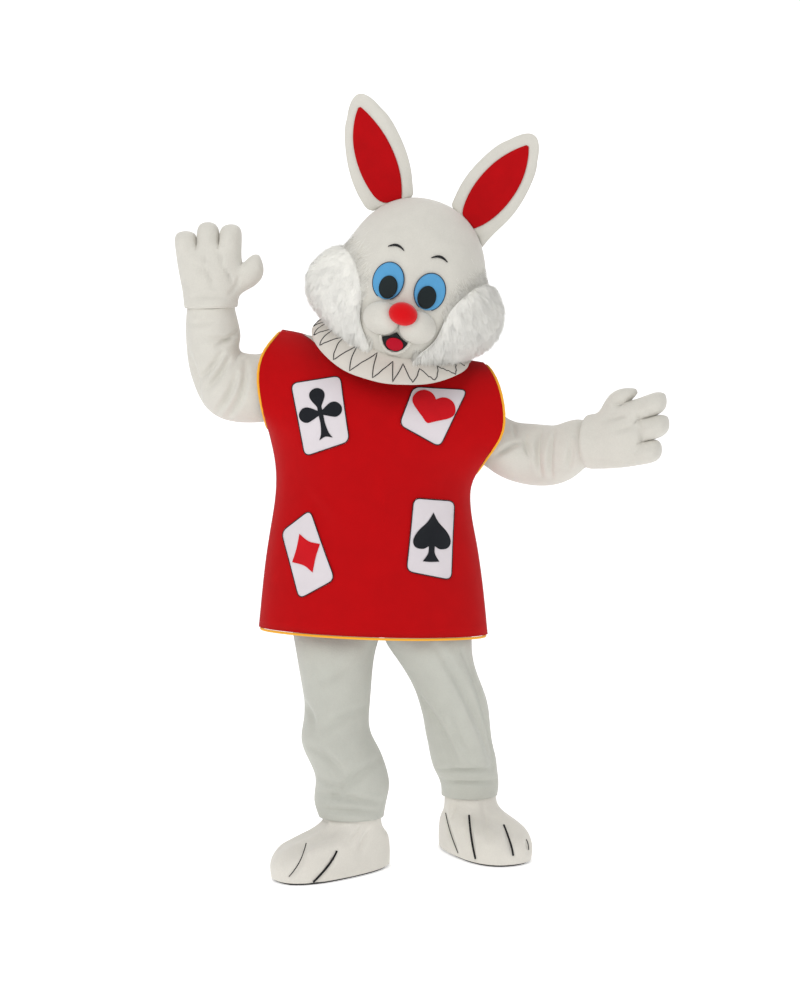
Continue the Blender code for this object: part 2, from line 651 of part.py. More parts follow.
def glove(name, hand):
    across = np.array(hand["across"], float)
    across /= np.linalg.norm(across)
    along = np.array(hand["along"], float)
    along -= across * np.dot(along, across)
    along /= np.linalg.norm(along)
    palm = np.cross(along, across)
    if palm[1] > 0:
        palm = -palm
    points, faces = [], []

    def point(u, v, w):
        u += hand["bend"] * max(v - PALM_ROWS[1][0], 0.0)
        points.append(np.array(hand["wrist"]) + across * u
                      + along * v * hand["stretch"] + palm * w)
        return len(points) - 1

    def ring_faces(a, b):
        count = len(a)
        for j in range(count):
            faces.append((a[j], a[(j + 1) % count], b[(j + 1) % count], b[j]))

    rings = []
    for k, (v, half, front, back, middle) in enumerate(PALM_ROWS):
        ring = []
        for side, depth in ((1, front), (-1, back)):
            for step in range(4):
                share = (-1 + 2 * step / 3) * side
                a = math.radians(157.5 - 45 * step) if side > 0 else math.radians(-22.5 - 45 * step)
                round_u, round_w = half * math.cos(a), depth * math.sin(a)
                flat_u = middle + half * share
                flat_w = side * depth * (1.0 if abs(share) < 0.5 else 0.62)
                mix = min(k / 2.0, 1.0)
                ring.append(point(round_u * (1 - mix) + flat_u * mix, v, round_w * (1 - mix) + flat_w * mix))
        rings.append(ring)
    for k in range(len(rings) - 1):
        a, b = rings[k], rings[k + 1]
        for j in range(8):
            if k == THUMB_ROW and j == THUMB_SIDE:
                continue
            faces.append((a[j], a[(j + 1) % 8], b[(j + 1) % 8], b[j]))
    top = rings[-1]
    for finger, length in enumerate(FINGER_LENGTHS):
        root = [top[finger], top[finger + 1], top[6 - finger], top[7 - finger]]
        edge = PALM_ROWS[-1]
        width = edge[1] * 2 / 3
        middle = edge[4] - edge[1] + width * (finger + 0.5)
        lean = (finger - 1) * FINGER_LEAN
        last = root
        for share, wide, deep in FINGER_RINGS:
            shift = middle + lean * length * share
            ring = [point(shift - width * wide, edge[0] + length * share, deep),
                    point(shift + width * wide, edge[0] + length * share, deep),
                    point(shift + width * wide, edge[0] + length * share, -deep),
                    point(shift - width * wide, edge[0] + length * share, -deep)]
            ring_faces(last, ring)
            last = ring
        faces.append(tuple(last))
    a, b = rings[THUMB_ROW], rings[THUMB_ROW + 1]
    last = [a[3], a[4], b[4], b[3]]
    beside = PALM_ROWS[2][1]
    for u, low, high, deep in THUMB_RINGS:
        u = beside + (u - beside) * hand["thumb"]
        ring = [point(u + 0.006, low, deep), point(u + 0.006, low, -deep),
                point(u - 0.012, high, -deep), point(u - 0.012, high, deep)]
        ring_faces(last, ring)
        last = ring
    faces.append(tuple(last))
    solid = add_solid(name, points, faces, "plush")
    smoother = solid.modifiers.new("smoother", "SUBSURF")
    smoother.levels = smoother.render_levels = 1
    wall = solid.modifiers.new("wall", "SOLIDIFY")
    wall.thickness = GLOVE_WALL
    wall.offset = -1.0
    wall.use_even_offset = True
    return solid


for where, hand in HANDS.items():
    glove("glove_" + where, hand)

# The head: a padded shell in a left and a right half, sewn over the crown

HEAD_MIDDLE = (0.094, -0.03, 0.1835)
HEAD_ROLL, HEAD_NOD = math.radians(15), math.radians(5)
HEAD_WIDE, HEAD_DEEP, HEAD_UP, HEAD_DOWN, HEAD_ROUND = 0.205, 0.205, 0.255, 0.26, 2.2
head_turn = np.array(Matrix.Rotation(HEAD_ROLL, 3, "Y") @ Matrix.Rotation(HEAD_NOD, 3, "X"))


def on_body(points):
    """Points of the head's own frame, as the costume's."""
    return np.asarray(points) @ head_turn.T + np.array(HEAD_MIDDLE)


def head_reach(way, extra=0.0):
    """How far the head's outside lies from its middle that way."""
    x, y, z = np.asarray(way) / np.linalg.norm(way)
    tall = HEAD_UP if z > 0 else HEAD_DOWN
    total = abs(x / (HEAD_WIDE + extra)) ** HEAD_ROUND + abs(y / (HEAD_DEEP + extra)) ** HEAD_ROUND
    total += abs(z / (tall + extra)) ** HEAD_ROUND
    return total ** (-1 / HEAD_ROUND)


def head_front(x, z):
    """The y of the head's front at x, z."""
    tall = HEAD_UP if z > 0 else HEAD_DOWN
    left = 1 - abs(x / HEAD_WIDE) ** HEAD_ROUND - abs(z / tall) ** HEAD_ROUND
    return -HEAD_DEEP * max(left, 0.0) ** (1 / HEAD_ROUND)


def head_top(x, y):
    left = 1 - abs(x / HEAD_WIDE) ** HEAD_ROUND - abs(y / HEAD_DEEP) ** HEAD_ROUND
    return HEAD_UP * max(left, 0.0) ** (1 / HEAD_ROUND)


def head_rim(bearing):
    """How low the head's edge is; bearing 0 is the front and 90 the right side."""
    return -0.120 - 0.060 * max(math.cos(math.radians(bearing)), 0.0) ** 1.2


def head_point(bearing, share, extra=0.0):
    """A point of the head: share 0 is the crown, 1 the edge round the neck."""
    b = math.radians(bearing)
    low = head_rim(bearing)
    end = math.acos(low / head_reach((math.sin(b), -math.cos(b), -0.9), extra) * 0.93)
    for _ in range(20):
        way = (math.sin(b) * math.sin(end), -math.cos(b) * math.sin(end), math.cos(end))
        end += (head_reach(way, extra) * math.cos(end) - low) * 3.0
    drop = end * share
    way = np.array((math.sin(b) * math.sin(drop), -math.cos(b) * math.sin(drop), math.cos(drop)))
    return way * head_reach(way, extra)


def head_half(name, side):
    shares = np.linspace(0, 1, 14)[1:]
    bearings = np.array((0, 9, 18, 28, 40, 56, 74, 94, 115, 137, 158, 180)) * side
    surfaces = []
    for extra in (0.0, -HEAD_WALL):
        points = [head_point(0, 0.0, extra)]
        for share in shares:
            for bearing in bearings:
                points.append(head_point(bearing, share, extra))
        surface = np.array(points)
        surface[:, 0] = side * np.maximum(surface[:, 0] * side, SEAM_GAP / 2)
        surfaces.append(surface)
    count = len(bearings)
    faces = [(0, 1 + j, 2 + j) for j in range(count - 1)]
    faces += [tuple(1 + i for i in face) for face in grid_faces(len(shares), count)]
    thick(name, on_body(surfaces[0]), on_body(surfaces[1]), faces, "plush")


head_half("head_left", -1)
head_half("head_right", 1)

# The ears: flat stuffed pads on the crown, each with a red lining on its front

EARS = {"left": {"base": (-0.106, 0.205), "tip": (-0.272, 0.483), "lining_lean": 0.30},
        "right": {"base": (0.108, 0.211), "tip": (0.222, 0.498), "lining_lean": -0.10}}
# along the ear, half width
EAR_SHAPE = [(0.0, 0.060), (0.10, 0.070), (0.25, 0.081), (0.40, 0.083), (0.55, 0.078),
             (0.70, 0.068), (0.83, 0.053), (0.93, 0.035), (0.985, 0.016)]
# along the ear, share of its half width
LINING_SHAPE = [(0.02, 0.34), (0.10, 0.50), (0.22, 0.60), (0.36, 0.64), (0.50, 0.64),
                (0.63, 0.60), (0.74, 0.48), (0.83, 0.30), (0.885, 0.08)]
EAR_HALF_THICK, EAR_HOLLOW, EAR_Y = 0.016, 0.010, -0.01


def ear_point(ear, along, across, side):
    """A point of the ear; side -1 is its front face, which is a little hollow."""
    base, tip = np.array(ear["base"]), np.array(ear["tip"])
    axis = tip - base
    level = axis / np.linalg.norm(axis)
    width = np.interp(along, [r[0] for r in EAR_SHAPE], [r[1] for r in EAR_SHAPE])
    place = base + axis * along + np.array((level[1], -level[0])) * width * across
    taper = min(1.0, 0.45 + 2.2 * (1 - along))
    swell = math.sqrt(max(1 - abs(across) ** 2.6, 0.0)) * taper
    hollow = EAR_HOLLOW * (1 - across * across) * taper
    y = EAR_Y + side * EAR_HALF_THICK * swell + hollow
    z = place[1]
    floor = head_top(place[0], y) + 0.0032 + 0.02 * along
    return np.array((place[0], y, max(z, floor) if along > 0 else floor))


for where, ear in EARS.items():
    rings = []
    ear_across = (-1, -0.8, -0.4, 0, 0.4, 0.8)
    for along, _ in EAR_SHAPE:
        front = [ear_point(ear, along, u, -1) for u in ear_across]
        back = [ear_point(ear, along, -u, 1) for u in ear_across]
        rings += front + back
    tip = ear_point(ear, 1.0, 0, -1)
    points = np.array(rings + [tip])
    count = 12
    faces = grid_faces(len(EAR_SHAPE), count, around=True)
    last = (len(EAR_SHAPE) - 1) * count
    faces += [(last + j, last + (j + 1) % count, last + count) for j in range(count)]
    faces.append(tuple(range(count)))
    add_solid("ear_" + where, on_body(points), faces, "plush")
    lining = []
    for along, narrow in LINING_SHAPE:
        for u in (-1, -0.5, 0, 0.5, 1):
            across = u * narrow + ear["lining_lean"] * (0.3 - along)
            lining.append(ear_point(ear, along, across, -1) - (0, 0.0006, 0))
    lining = np.array(lining)
    thick("ear_lining_" + where, on_body(lining - (0, 0.002, 0)), on_body(lining),
          grid_faces(len(LINING_SHAPE), 5), "red_satin")

# The face: muzzle lobes, chin, mouth, tongue, nose, eyes and brows, laid on the head's front

# middle x, z; half width, half height; how far it stands out
MUZZLE = {"left": (-0.049, -0.086, 0.052, 0.046, 0.050), "right": (0.049, -0.086, 0.052, 0.046, 0.050)}
TONGUE = (0.002, -0.1445, 0.024, 0.018)
NOSE = (0.004, -0.060, 0.041, 0.033, 0.030)
EYE = (0.0565, 0.0125, 0.041, 0.050)
PUPIL = (0.0525, -0.003, 0.0255, 0.032)
BROW = (0.059, 0.104, 0.022)


def disc_plan(x, z, wide, high, count, shares):
    """Plan points of an oval: its middle, then rings at shares of its size."""
    plan = [(x, z)]
    for share in shares:
        for j in range(count):
            a = 2 * math.pi * j / count
            plan.append((x + wide * share * math.cos(a), z + high * share * math.sin(a)))
    return plan


def disc_faces(count, rings):
    faces = [(0, 1 + j, 1 + (j + 1) % count) for j in range(count)]
    for ring in range(rings - 1):
        a, b = 1 + ring * count, 1 + (ring + 1) * count
        faces += [(a + j, b + j, b + (j + 1) % count, a + (j + 1) % count) for j in range(count)]
    return faces


def lobe_rise(x, z):
    """How far the muzzle stands out from the head's front at x, z."""
    rise = 0.0
    for lx, lz, wide, high, out in MUZZLE.values():
        near = ((x - lx) / wide) ** 2 + ((z - lz) / high) ** 2
        rise = max(rise, out * math.sqrt(max(1 - near, 0.0)))
    return rise


def face_pad(name, plan, faces, under, over, material):
    """A pad between two heights over the head's front, both given for x, z."""
    low = np.array([(x, head_front(x, z) - under(x, z, i), z) for i, (x, z) in enumerate(plan)])
    high = np.array([(x, head_front(x, z) - over(x, z, i), z) for i, (x, z) in enumerate(plan)])
    thick(name, on_body(high), on_body(low), faces, material)


ON_HEAD, BROW_UNDER = 0.0009, -0.0002
LOBE_POINTS = 16
for where, (x, z, wide, high, out) in MUZZLE.items():
    side = -1 if x < 0 else 1
    shares = (0.35, 0.65, 0.86, 0.97)
    plan = disc_plan(x, z, wide, high, LOBE_POINTS, shares)
    plan = [(side * max(px * side, 0.0004), pz) for px, pz in plan]
    face_pad("muzzle_" + where, plan, disc_faces(LOBE_POINTS, 4), lambda x, z, i: ON_HEAD,
             lambda x, z, i: ON_HEAD + max(lobe_rise(x, z), 0.002), "plush")

NOSE_POINTS = 14
nose_shares = (0.4, 0.75, 0.96)
nose_plan = disc_plan(NOSE[0], NOSE[1], NOSE[2], NOSE[3], NOSE_POINTS, nose_shares)


def nose_under(x, z, i):
    around = [lobe_rise(x + dx, z + dz) for dx in (-0.004, 0, 0.004) for dz in (-0.004, 0, 0.004)]
    return max(around) + ON_HEAD - 0.0002



def nose_over(x, z, i):
    share = 0.0 if i == 0 else nose_shares[(i - 1) // NOSE_POINTS]
    front = head_front(NOSE[0], NOSE[1]) - 0.040 - NOSE[4] * math.sqrt(1 - share * share)
    return max(head_front(x, z) - front, nose_under(x, z, i) + 0.0015)


face_pad("nose", nose_plan, disc_faces(NOSE_POINTS, 3), nose_under, nose_over, "red_plush")

EYE_POINTS, EYE_THICK, PUPIL_THICK = 16, 0.003, 0.0015


def clear_of_muzzle(x, z, x0, z0):
    """The point drawn back towards x0, z0 until it's off the muzzle."""
    for _ in range(60):
        inside = False
        for lx, lz, wide, high, _ in MUZZLE.values():
            inside |= ((x - lx) / (wide + 0.002)) ** 2 + ((z - lz) / (high + 0.002)) ** 2 < 1
        if not inside:
            break
        x, z = x + (x0 - x) * 0.03, z + (z0 - z) * 0.03
    return x, z


for where, side in (("left", -1), ("right", 1)):
    x, z, wide, high = EYE[0] * side, EYE[1], EYE[2], EYE[3]
    plan = [clear_of_muzzle(px, pz, x, z) for px, pz in disc_plan(x, z, wide, high, EYE_POINTS, (0.5, 1.0))]
    face_pad("eye_" + where, plan, disc_faces(EYE_POINTS, 2), lambda x, z, i: ON_HEAD,
             lambda x, z, i: ON_HEAD + EYE_THICK, "blue_felt")
    x, z, wide, high = PUPIL[0] * side, PUPIL[1], PUPIL[2], PUPIL[3]
    plan = [clear_of_muzzle(px, pz, x, z) for px, pz in disc_plan(x, z, wide, high, 12, (1.0,))]
    face_pad("pupil_" + where, plan, disc_faces(12, 1), lambda x, z, i: ON_HEAD + EYE_THICK + 0.0012,
             lambda x, z, i: ON_HEAD + EYE_THICK + 0.0012 + PUPIL_THICK, "black_cloth")
    arc = []
    for edge in (-0.0034, 0.0034):
        for share in np.linspace(-1, 1, 7):
            rise = 0.009 * (1 - share * share) + edge * (1 - 0.6 * share * share)
            arc.append((BROW[0] * side + BROW[2] * share, BROW[1] - 0.004 + rise))
    face_pad("brow_" + where, arc, grid_faces(2, 7), lambda x, z, i: BROW_UNDER,
             lambda x, z, i: BROW_UNDER + 0.0015, "black_cloth")

# half width of the mouth on each side of its middle line, from the top lip down
MOUTH_LINES = [(-0.112, 0.040), (-0.125, 0.040), (-0.138, 0.036), (-0.151, 0.028), (-0.163, 0.014)]
mouth_plan = [(share * half, z) for z, half in MOUTH_LINES for share in (-1, -0.5, 0, 0.5, 1)]


def mouth_clear(x, z):
    return clear_of_muzzle(x, z, 0.0, -0.17)


mouth_plan = [mouth_clear(x, z) for x, z in mouth_plan]
face_pad("mouth", mouth_plan, grid_faces(5, 5), lambda x, z, i: ON_HEAD,
         lambda x, z, i: ON_HEAD + 0.0020, "black_cloth")
tongue_plan = [mouth_clear(x, z) for x, z in disc_plan(*TONGUE, 12, (1.0,))]
face_pad("tongue", tongue_plan, disc_faces(12, 1), lambda x, z, i: ON_HEAD + 0.0026,
         lambda x, z, i: ON_HEAD + 0.0046 + (0.003 if i == 0 else 0.0), "pink_felt")

# The cheeks: thick pads of long fur over the lower sides of the head, from muzzle to back

# share of the way down to the head's edge, bearing of the front and back edges, thickness
CHEEK_ROWS = [
    (0.00, 64, 100, 0.006),
    (0.10, 49, 112, 0.030),
    (0.25, 39, 122, 0.052),
    (0.42, 33, 128, 0.066),
    (0.60, 32, 131, 0.068),
    (0.76, 31, 131, 0.062),
    (0.90, 24, 131, 0.046),
    (1.00, 20, 130, 0.018),
]
CHEEK_TOP = 0.062
# share of the way back, share of the full thickness
CHEEK_SWELL = [(0.0, 0.03), (0.12, 0.26), (0.27, 0.56), (0.43, 0.88),
               (0.60, 1.0), (0.78, 0.78), (0.92, 0.38), (1.0, 0.06)]
CHEEK_LIFT, CHEEK_EDGE = 0.0038, 0.003


def cheek_pad(name, side, full):
    low, high = [], []
    for down, front, back, out in CHEEK_ROWS:
        for share, swell in CHEEK_SWELL:
            bearing = front + (back - front) * share
            b = math.radians(bearing)
            tall = CHEEK_TOP + (head_rim(bearing) + 0.010 - CHEEK_TOP) * down
            across = math.sqrt(1 - (tall / HEAD_DOWN) ** 2) * HEAD_WIDE
            way = np.array((math.sin(b), -math.cos(b), tall / across))
            way /= np.linalg.norm(way)
            base = way * (head_reach(way) + CHEEK_LIFT)
            level = np.array((way[0], way[1], way[2] * 0.4 * (1 - down)))
            low.append(base * (side, 1, 1))
            high.append((base + level * (CHEEK_EDGE + out * swell * full)) * (side, 1, 1))
    faces = grid_faces(len(CHEEK_ROWS), len(CHEEK_SWELL))
    thick(name, on_body(high), on_body(low), faces, "long_fur")


cheek_pad("cheek_left", -1, 1.0)
cheek_pad("cheek_right", 1, 0.85)

# The collar: a soft cloth band sewn under the head's edge, longer in front

# bearing, radius, height of its lower edge in the head's frame
COLLAR_EDGE = [(-180, 0.200, -0.155), (-135, 0.215, -0.152), (-90, 0.232, -0.160), (-60, 0.233, -0.205),
               (-30, 0.226, -0.248), (0, 0.226, -0.250), (30, 0.238, -0.222), (55, 0.234, -0.176),
               (90, 0.206, -0.136), (135, 0.197, -0.140), (180, 0.200, -0.155)]
COLLAR_WALL = 0.0025
COLLAR_POINTS = 28
collar = []
for share in (0.0, 0.3, 0.65, 1.0):
    for j in range(COLLAR_POINTS):
        bearing = 360 * j / COLLAR_POINTS - 180
        top = head_point(bearing, 1.0)
        top[2] -= 0.0020
        radius = np.interp(bearing, [r[0] for r in COLLAR_EDGE], [r[1] for r in COLLAR_EDGE])
        height = np.interp(bearing, [r[0] for r in COLLAR_EDGE], [r[2] for r in COLLAR_EDGE])
        b = math.radians(bearing)
        low = np.array((radius * math.sin(b), -radius * math.cos(b), height))
        out = np.array((math.sin(b), -math.cos(b), 0.0))
        swell = 0.014 * math.sin(math.pi * share) * (1.0 + 0.35 * math.cos(7 * b + 1.0) * share)
        collar.append(top + (low - top) * share + out * swell)
collar = np.array(collar)
collar_faces = grid_faces(4, COLLAR_POINTS, around=True)
collar_inner = inward(collar, collar_faces, COLLAR_WALL, (0, 0, -0.15))
collar_inner[:COLLAR_POINTS, 2] = collar[:COLLAR_POINTS, 2]
thick("collar", on_body(collar), on_body(collar_inner), collar_faces, "white_cloth")
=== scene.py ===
"""The looks of the rabbit mascot costume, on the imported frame. Front is -Y, metres."""

import math

import bmesh
import bpy
import numpy as np
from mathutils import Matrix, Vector
from mathutils.bvhtree import BVHTree
from mathutils.geometry import delaunay_2d_cdt


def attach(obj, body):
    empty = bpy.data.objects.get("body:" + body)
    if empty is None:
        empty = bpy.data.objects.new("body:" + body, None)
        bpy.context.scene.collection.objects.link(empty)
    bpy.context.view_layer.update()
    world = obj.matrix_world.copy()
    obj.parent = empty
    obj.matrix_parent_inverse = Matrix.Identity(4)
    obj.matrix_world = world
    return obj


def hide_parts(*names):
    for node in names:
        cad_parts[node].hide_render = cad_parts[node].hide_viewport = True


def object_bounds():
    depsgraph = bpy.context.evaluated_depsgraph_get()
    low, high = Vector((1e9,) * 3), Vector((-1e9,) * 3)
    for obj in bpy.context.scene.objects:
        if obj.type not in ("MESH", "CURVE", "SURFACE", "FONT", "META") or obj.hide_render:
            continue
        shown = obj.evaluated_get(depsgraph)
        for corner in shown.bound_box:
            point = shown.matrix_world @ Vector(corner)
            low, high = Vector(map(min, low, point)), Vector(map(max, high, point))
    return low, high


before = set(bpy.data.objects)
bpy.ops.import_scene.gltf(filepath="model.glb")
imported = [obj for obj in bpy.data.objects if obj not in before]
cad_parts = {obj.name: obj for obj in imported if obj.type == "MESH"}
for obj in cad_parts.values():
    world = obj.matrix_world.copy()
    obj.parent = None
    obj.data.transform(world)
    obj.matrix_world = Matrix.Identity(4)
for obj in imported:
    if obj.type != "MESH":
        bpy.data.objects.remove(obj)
frame_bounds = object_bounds()

# Plush suit, front and back of the body
# White acrylic plush, about 3 mm with its backing, sewn at the shoulders and sides and
# closed down the back. Nearly all of it is under the tabard.


def linear(red, green, blue):
    """A screen colour of 0 to 255 as the render's linear colour."""
    return tuple((c / 255) ** 2.2 for c in (red, green, blue)) + (1.0,)


def plush(name, colour, dark=0.93, grain=260.0, bump=0.0016, sheen=0.35):
    """Short pile: a mottled colour, fine tufts as bumps, and a soft sheen at the edges."""
    material = bpy.data.materials.new(name)
    material.use_nodes = True
    nodes, links = material.node_tree.nodes, material.node_tree.links
    shader = nodes["Principled BSDF"]
    shader.inputs["Roughness"].default_value = 0.95
    shader.inputs["Specular IOR Level"].default_value = 0.15
    shader.inputs["Sheen Weight"].default_value = sheen
    shader.inputs["Sheen Roughness"].default_value = 0.5
    place = nodes.new("ShaderNodeTexCoord")
    cloud = nodes.new("ShaderNodeTexNoise")
    cloud.inputs["Scale"].default_value = 22.0
    cloud.inputs["Detail"].default_value = 5.0
    tuft = nodes.new("ShaderNodeTexNoise")
    tuft.inputs["Scale"].default_value = grain
    tuft.inputs["Detail"].default_value = 3.0
    mix = nodes.new("ShaderNodeMix")
    mix.data_type = "RGBA"
    mix.inputs["A"].default_value = tuple(c * dark for c in colour[:3]) + (1.0,)
    mix.inputs["B"].default_value = colour
    both = nodes.new("ShaderNodeMath")
    both.operation = "MULTIPLY_ADD"
    both.inputs[1].default_value = 0.5
    links.new(place.outputs["Object"], cloud.inputs["Vector"])
    links.new(place.outputs["Object"], tuft.inputs["Vector"])
    links.new(tuft.outputs["Fac"], both.inputs[0])
    half = nodes.new("ShaderNodeMath")
    half.operation = "MULTIPLY"
    half.inputs[1].default_value = 0.5
    links.new(cloud.outputs["Fac"], half.inputs[0])
    links.new(half.outputs[0], both.inputs[2])
    spread = nodes.new("ShaderNodeMapRange")
    spread.inputs["From Min"].default_value = 0.35
    spread.inputs["From Max"].default_value = 0.65
    links.new(both.outputs[0], spread.inputs["Value"])
    links.new(spread.outputs[0], mix.inputs["Factor"])
    links.new(mix.outputs["Result"], shader.inputs["Base Color"])
    rough = nodes.new("ShaderNodeBump")
    rough.inputs["Strength"].default_value = 0.8
    rough.inputs["Distance"].default_value = bump
    links.new(both.outputs[0], rough.inputs["Height"])
    links.new(rough.outputs[0], shader.inputs["Normal"])
    return material


WHITE_PLUSH = plush("white_plush", linear(213, 210, 201))


# angles in degrees up to which two triangles of a solid are taken as one square face
WELD, NEARLY_FLAT, NEARLY_SQUARE = 1e-5, 35, 70


def on_solid(name, node, material, levels=2, sharp=50, joined=None):
    """A smoother copy of a solid: its mesh in quads, rounded, with its edges kept.

    node is one solid or several. joined(work) closes the seams between several."""
    nodes = [node] if isinstance(node, str) else list(node)
    work = bmesh.new()
    for one in nodes:
        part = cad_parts[one].data.copy()
        part.transform(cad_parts[one].matrix_world)
        work.from_mesh(part)
        bpy.data.meshes.remove(part)
    bmesh.ops.remove_doubles(work, verts=work.verts, dist=WELD)
    if joined:
        joined(work)
    bmesh.ops.join_triangles(work, faces=work.faces, angle_face_threshold=math.radians(NEARLY_FLAT),
                             angle_shape_threshold=math.radians(NEARLY_SQUARE))
    creases = work.edges.layers.float.new("crease_edge")
    for edge in work.edges:
        if len(edge.link_faces) == 2 and edge.calc_face_angle(0) > math.radians(sharp):
            edge[creases] = 1.0
    mesh = bpy.data.meshes.new(name)
    work.to_mesh(mesh)
    work.free()
    piece = bpy.data.objects.new(name, mesh)
    bpy.context.scene.collection.objects.link(piece)
    rounder = piece.modifiers.new("rounder", "SUBSURF")
    rounder.levels = rounder.render_levels = levels
    bpy.context.view_layer.update()
    smooth = bpy.data.meshes.new_from_object(piece.evaluated_get(bpy.context.evaluated_depsgraph_get()))
    piece.modifiers.clear()
    piece.data = smooth
    smooth.name = name
    smooth.materials.clear()
    smooth.materials.append(material)
    smooth.shade_smooth()
    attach(piece, "root")
    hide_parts(*nodes)
    return piece


def points_of(piece):
    points = np.empty(len(piece.data.vertices) * 3)
    piece.data.vertices.foreach_get("co", points)
    return points.reshape(-1, 3)


def set_points(piece, points):
    piece.data.vertices.foreach_set("co", points.ravel())
    piece.data.update()


FOLD_STEPS, FOLD_END, OUTSIDE = 9, 0.04, 2.0


def fold(piece, table, lip=0.45):
    """Soft troughs pressed into a piece, each with a low ridge on both sides.

    Table rows: start x, z; end x, z; bow; side (-1 the front, 1 the back); width; depth."""
    tree = BVHTree.FromPolygons([v.co for v in piece.data.vertices],
                                [tuple(f.vertices) for f in piece.data.polygons])
    points = points_of(piece)
    move = np.zeros_like(points)
    for x0, z0, x1, z1, bow, side, width, depth in table:
        line, ways = [], []
        length = math.hypot(x1 - x0, z1 - z0)
        for share in np.linspace(0, 1, FOLD_STEPS):
            swing = bow * 4 * share * (1 - share)
            x = x0 + (x1 - x0) * share - (z1 - z0) / length * swing
            z = z0 + (z1 - z0) * share + (x1 - x0) / length * swing
            hit, normal, _, _ = tree.ray_cast(Vector((x, side * OUTSIDE, z)), Vector((0, -side, 0)))
            if hit is not None:
                line.append((*hit, math.sin(math.pi * min(max(share, FOLD_END), 1 - FOLD_END)) ** 0.5))
                ways.append(normal)
        if len(line) < 2:
            continue
        line = np.array(line)
        way = np.array(ways).mean(axis=0)
        way /= np.linalg.norm(way)
        near = np.full(len(points), 1e9)
        taper = np.zeros(len(points))
        for a, b in zip(line[:-1], line[1:]):
            along = b[:3] - a[:3]
            share = np.clip((points - a[:3]) @ along / max(along @ along, 1e-12), 0, 1)
            away = np.linalg.norm(points - (a[:3] + share[:, None] * along), axis=1)
            closer = away < near
            near = np.where(closer, away, near)
            taper = np.where(closer, a[3] + (b[3] - a[3]) * share, taper)
        ratio = (near / width) ** 2
        move -= (depth * taper * (1 - lip * ratio) * np.exp(-ratio))[:, None] * way
    set_points(piece, points + move)


suit_front = on_solid("plush_suit_front", "suit_front", WHITE_PLUSH)
suit_back = on_solid("plush_suit_back", "suit_back", WHITE_PLUSH)

# Sleeves
# Tubes of the same white plush, sewn into the suit's armholes and loose at the wrists.
# Folds gather inside the bent left elbow and across the right forearm.

# start x, z; end x, z; bow; side; width; depth
LEFT_SLEEVE_FOLDS = [
    (-0.352, -0.010, -0.404, -0.164, 0.021, -1, 0.011, 0.015),
    (-0.395, -0.005, -0.455, -0.086, 0.004, -1, 0.011, 0.015),
    (-0.412, 0.014, -0.476, -0.060, 0.004, -1, 0.010, 0.012),
    (-0.374, -0.046, -0.434, -0.152, 0.008, -1, 0.010, 0.013),
    (-0.505, 0.010, -0.478, -0.110, 0.006, -1, 0.012, 0.008),
    (-0.376, 0.066, -0.425, 0.028, 0.002, -1, 0.009, 0.011),
    (-0.466, 0.046, -0.376, 0.044, 0.004, -1, 0.009, 0.007),
    (-0.430, 0.098, -0.500, 0.090, 0.003, -1, 0.009, 0.005),
    (-0.372, 0.030, -0.465, -0.100, 0.010, 1, 0.012, 0.013),
    (-0.380, 0.060, -0.495, 0.000, 0.012, 1, 0.011, 0.010),
    (-0.340, 0.000, -0.390, -0.140, 0.014, 1, 0.012, 0.012),
]
RIGHT_SLEEVE_FOLDS = [
    (0.380, -0.184, 0.384, -0.214, 0.000, -1, 0.009, 0.008),
    (0.326, -0.268, 0.402, -0.228, 0.002, -1, 0.009, 0.012),
    (0.412, -0.214, 0.423, -0.266, -0.006, -1, 0.009, 0.012),
    (0.452, -0.200, 0.450, -0.318, -0.011, -1, 0.011, 0.013),
    (0.484, -0.200, 0.478, -0.326, -0.010, -1, 0.010, 0.013),
    (0.523, -0.236, 0.519, -0.304, 0.003, -1, 0.010, 0.010),
    (0.556, -0.180, 0.572, -0.278, -0.006, -1, 0.009, 0.009),
    (0.390, -0.190, 0.380, -0.320, 0.010, 1, 0.012, 0.012),
    (0.430, -0.200, 0.445, -0.330, -0.010, 1, 0.011, 0.013),
    (0.475, -0.200, 0.490, -0.325, 0.008, 1, 0.011, 0.010),
]
sleeve_left = on_solid("left_sleeve", "sleeve_left", WHITE_PLUSH, levels=3)
fold(sleeve_left, LEFT_SLEEVE_FOLDS)
sleeve_right = on_solid("right_sleeve", "sleeve_right", WHITE_PLUSH, levels=3)
fold(sleeve_right, RIGHT_SLEEVE_FOLDS)

# Trouser legs
# Plush tubes from the crotch down, each cut a little long, so that they sink into
# diagonal folds at the knee and level rolls over the foot covers.

LEG_PLUSH = plush("leg_plush", linear(192, 193, 184))
# start x, z; end x, z; bow; side; width; depth
LEFT_LEG_FOLDS = [
    (-0.022, -0.947, -0.130, -1.000, -0.008, -1, 0.016, 0.010),
    (-0.176, -1.050, -0.085, -1.123, 0.010, -1, 0.014, 0.012),
    (0.018, -1.085, -0.118, -1.197, -0.012, -1, 0.015, 0.013),
    (-0.192, -0.940, -0.165, -1.000, 0.006, -1, 0.014, 0.010),
    (-0.160, -1.180, 0.022, -1.206, 0.008, -1, 0.011, 0.012),
    (-0.150, -1.222, 0.010, -1.226, 0.004, -1, 0.009, 0.010),
    (-0.060, -0.800, -0.160, -0.880, 0.010, -1, 0.018, 0.007),
    (-0.150, -1.140, -0.070, -1.170, 0.004, -1, 0.011, 0.008),
    (-0.150, -1.060, -0.020, -1.040, 0.010, 1, 0.014, 0.012),
    (-0.140, -1.170, 0.010, -1.160, -0.010, 1, 0.012, 0.012),
    (-0.180, -0.960, -0.040, -0.990, 0.012, 1, 0.015, 0.010),
]
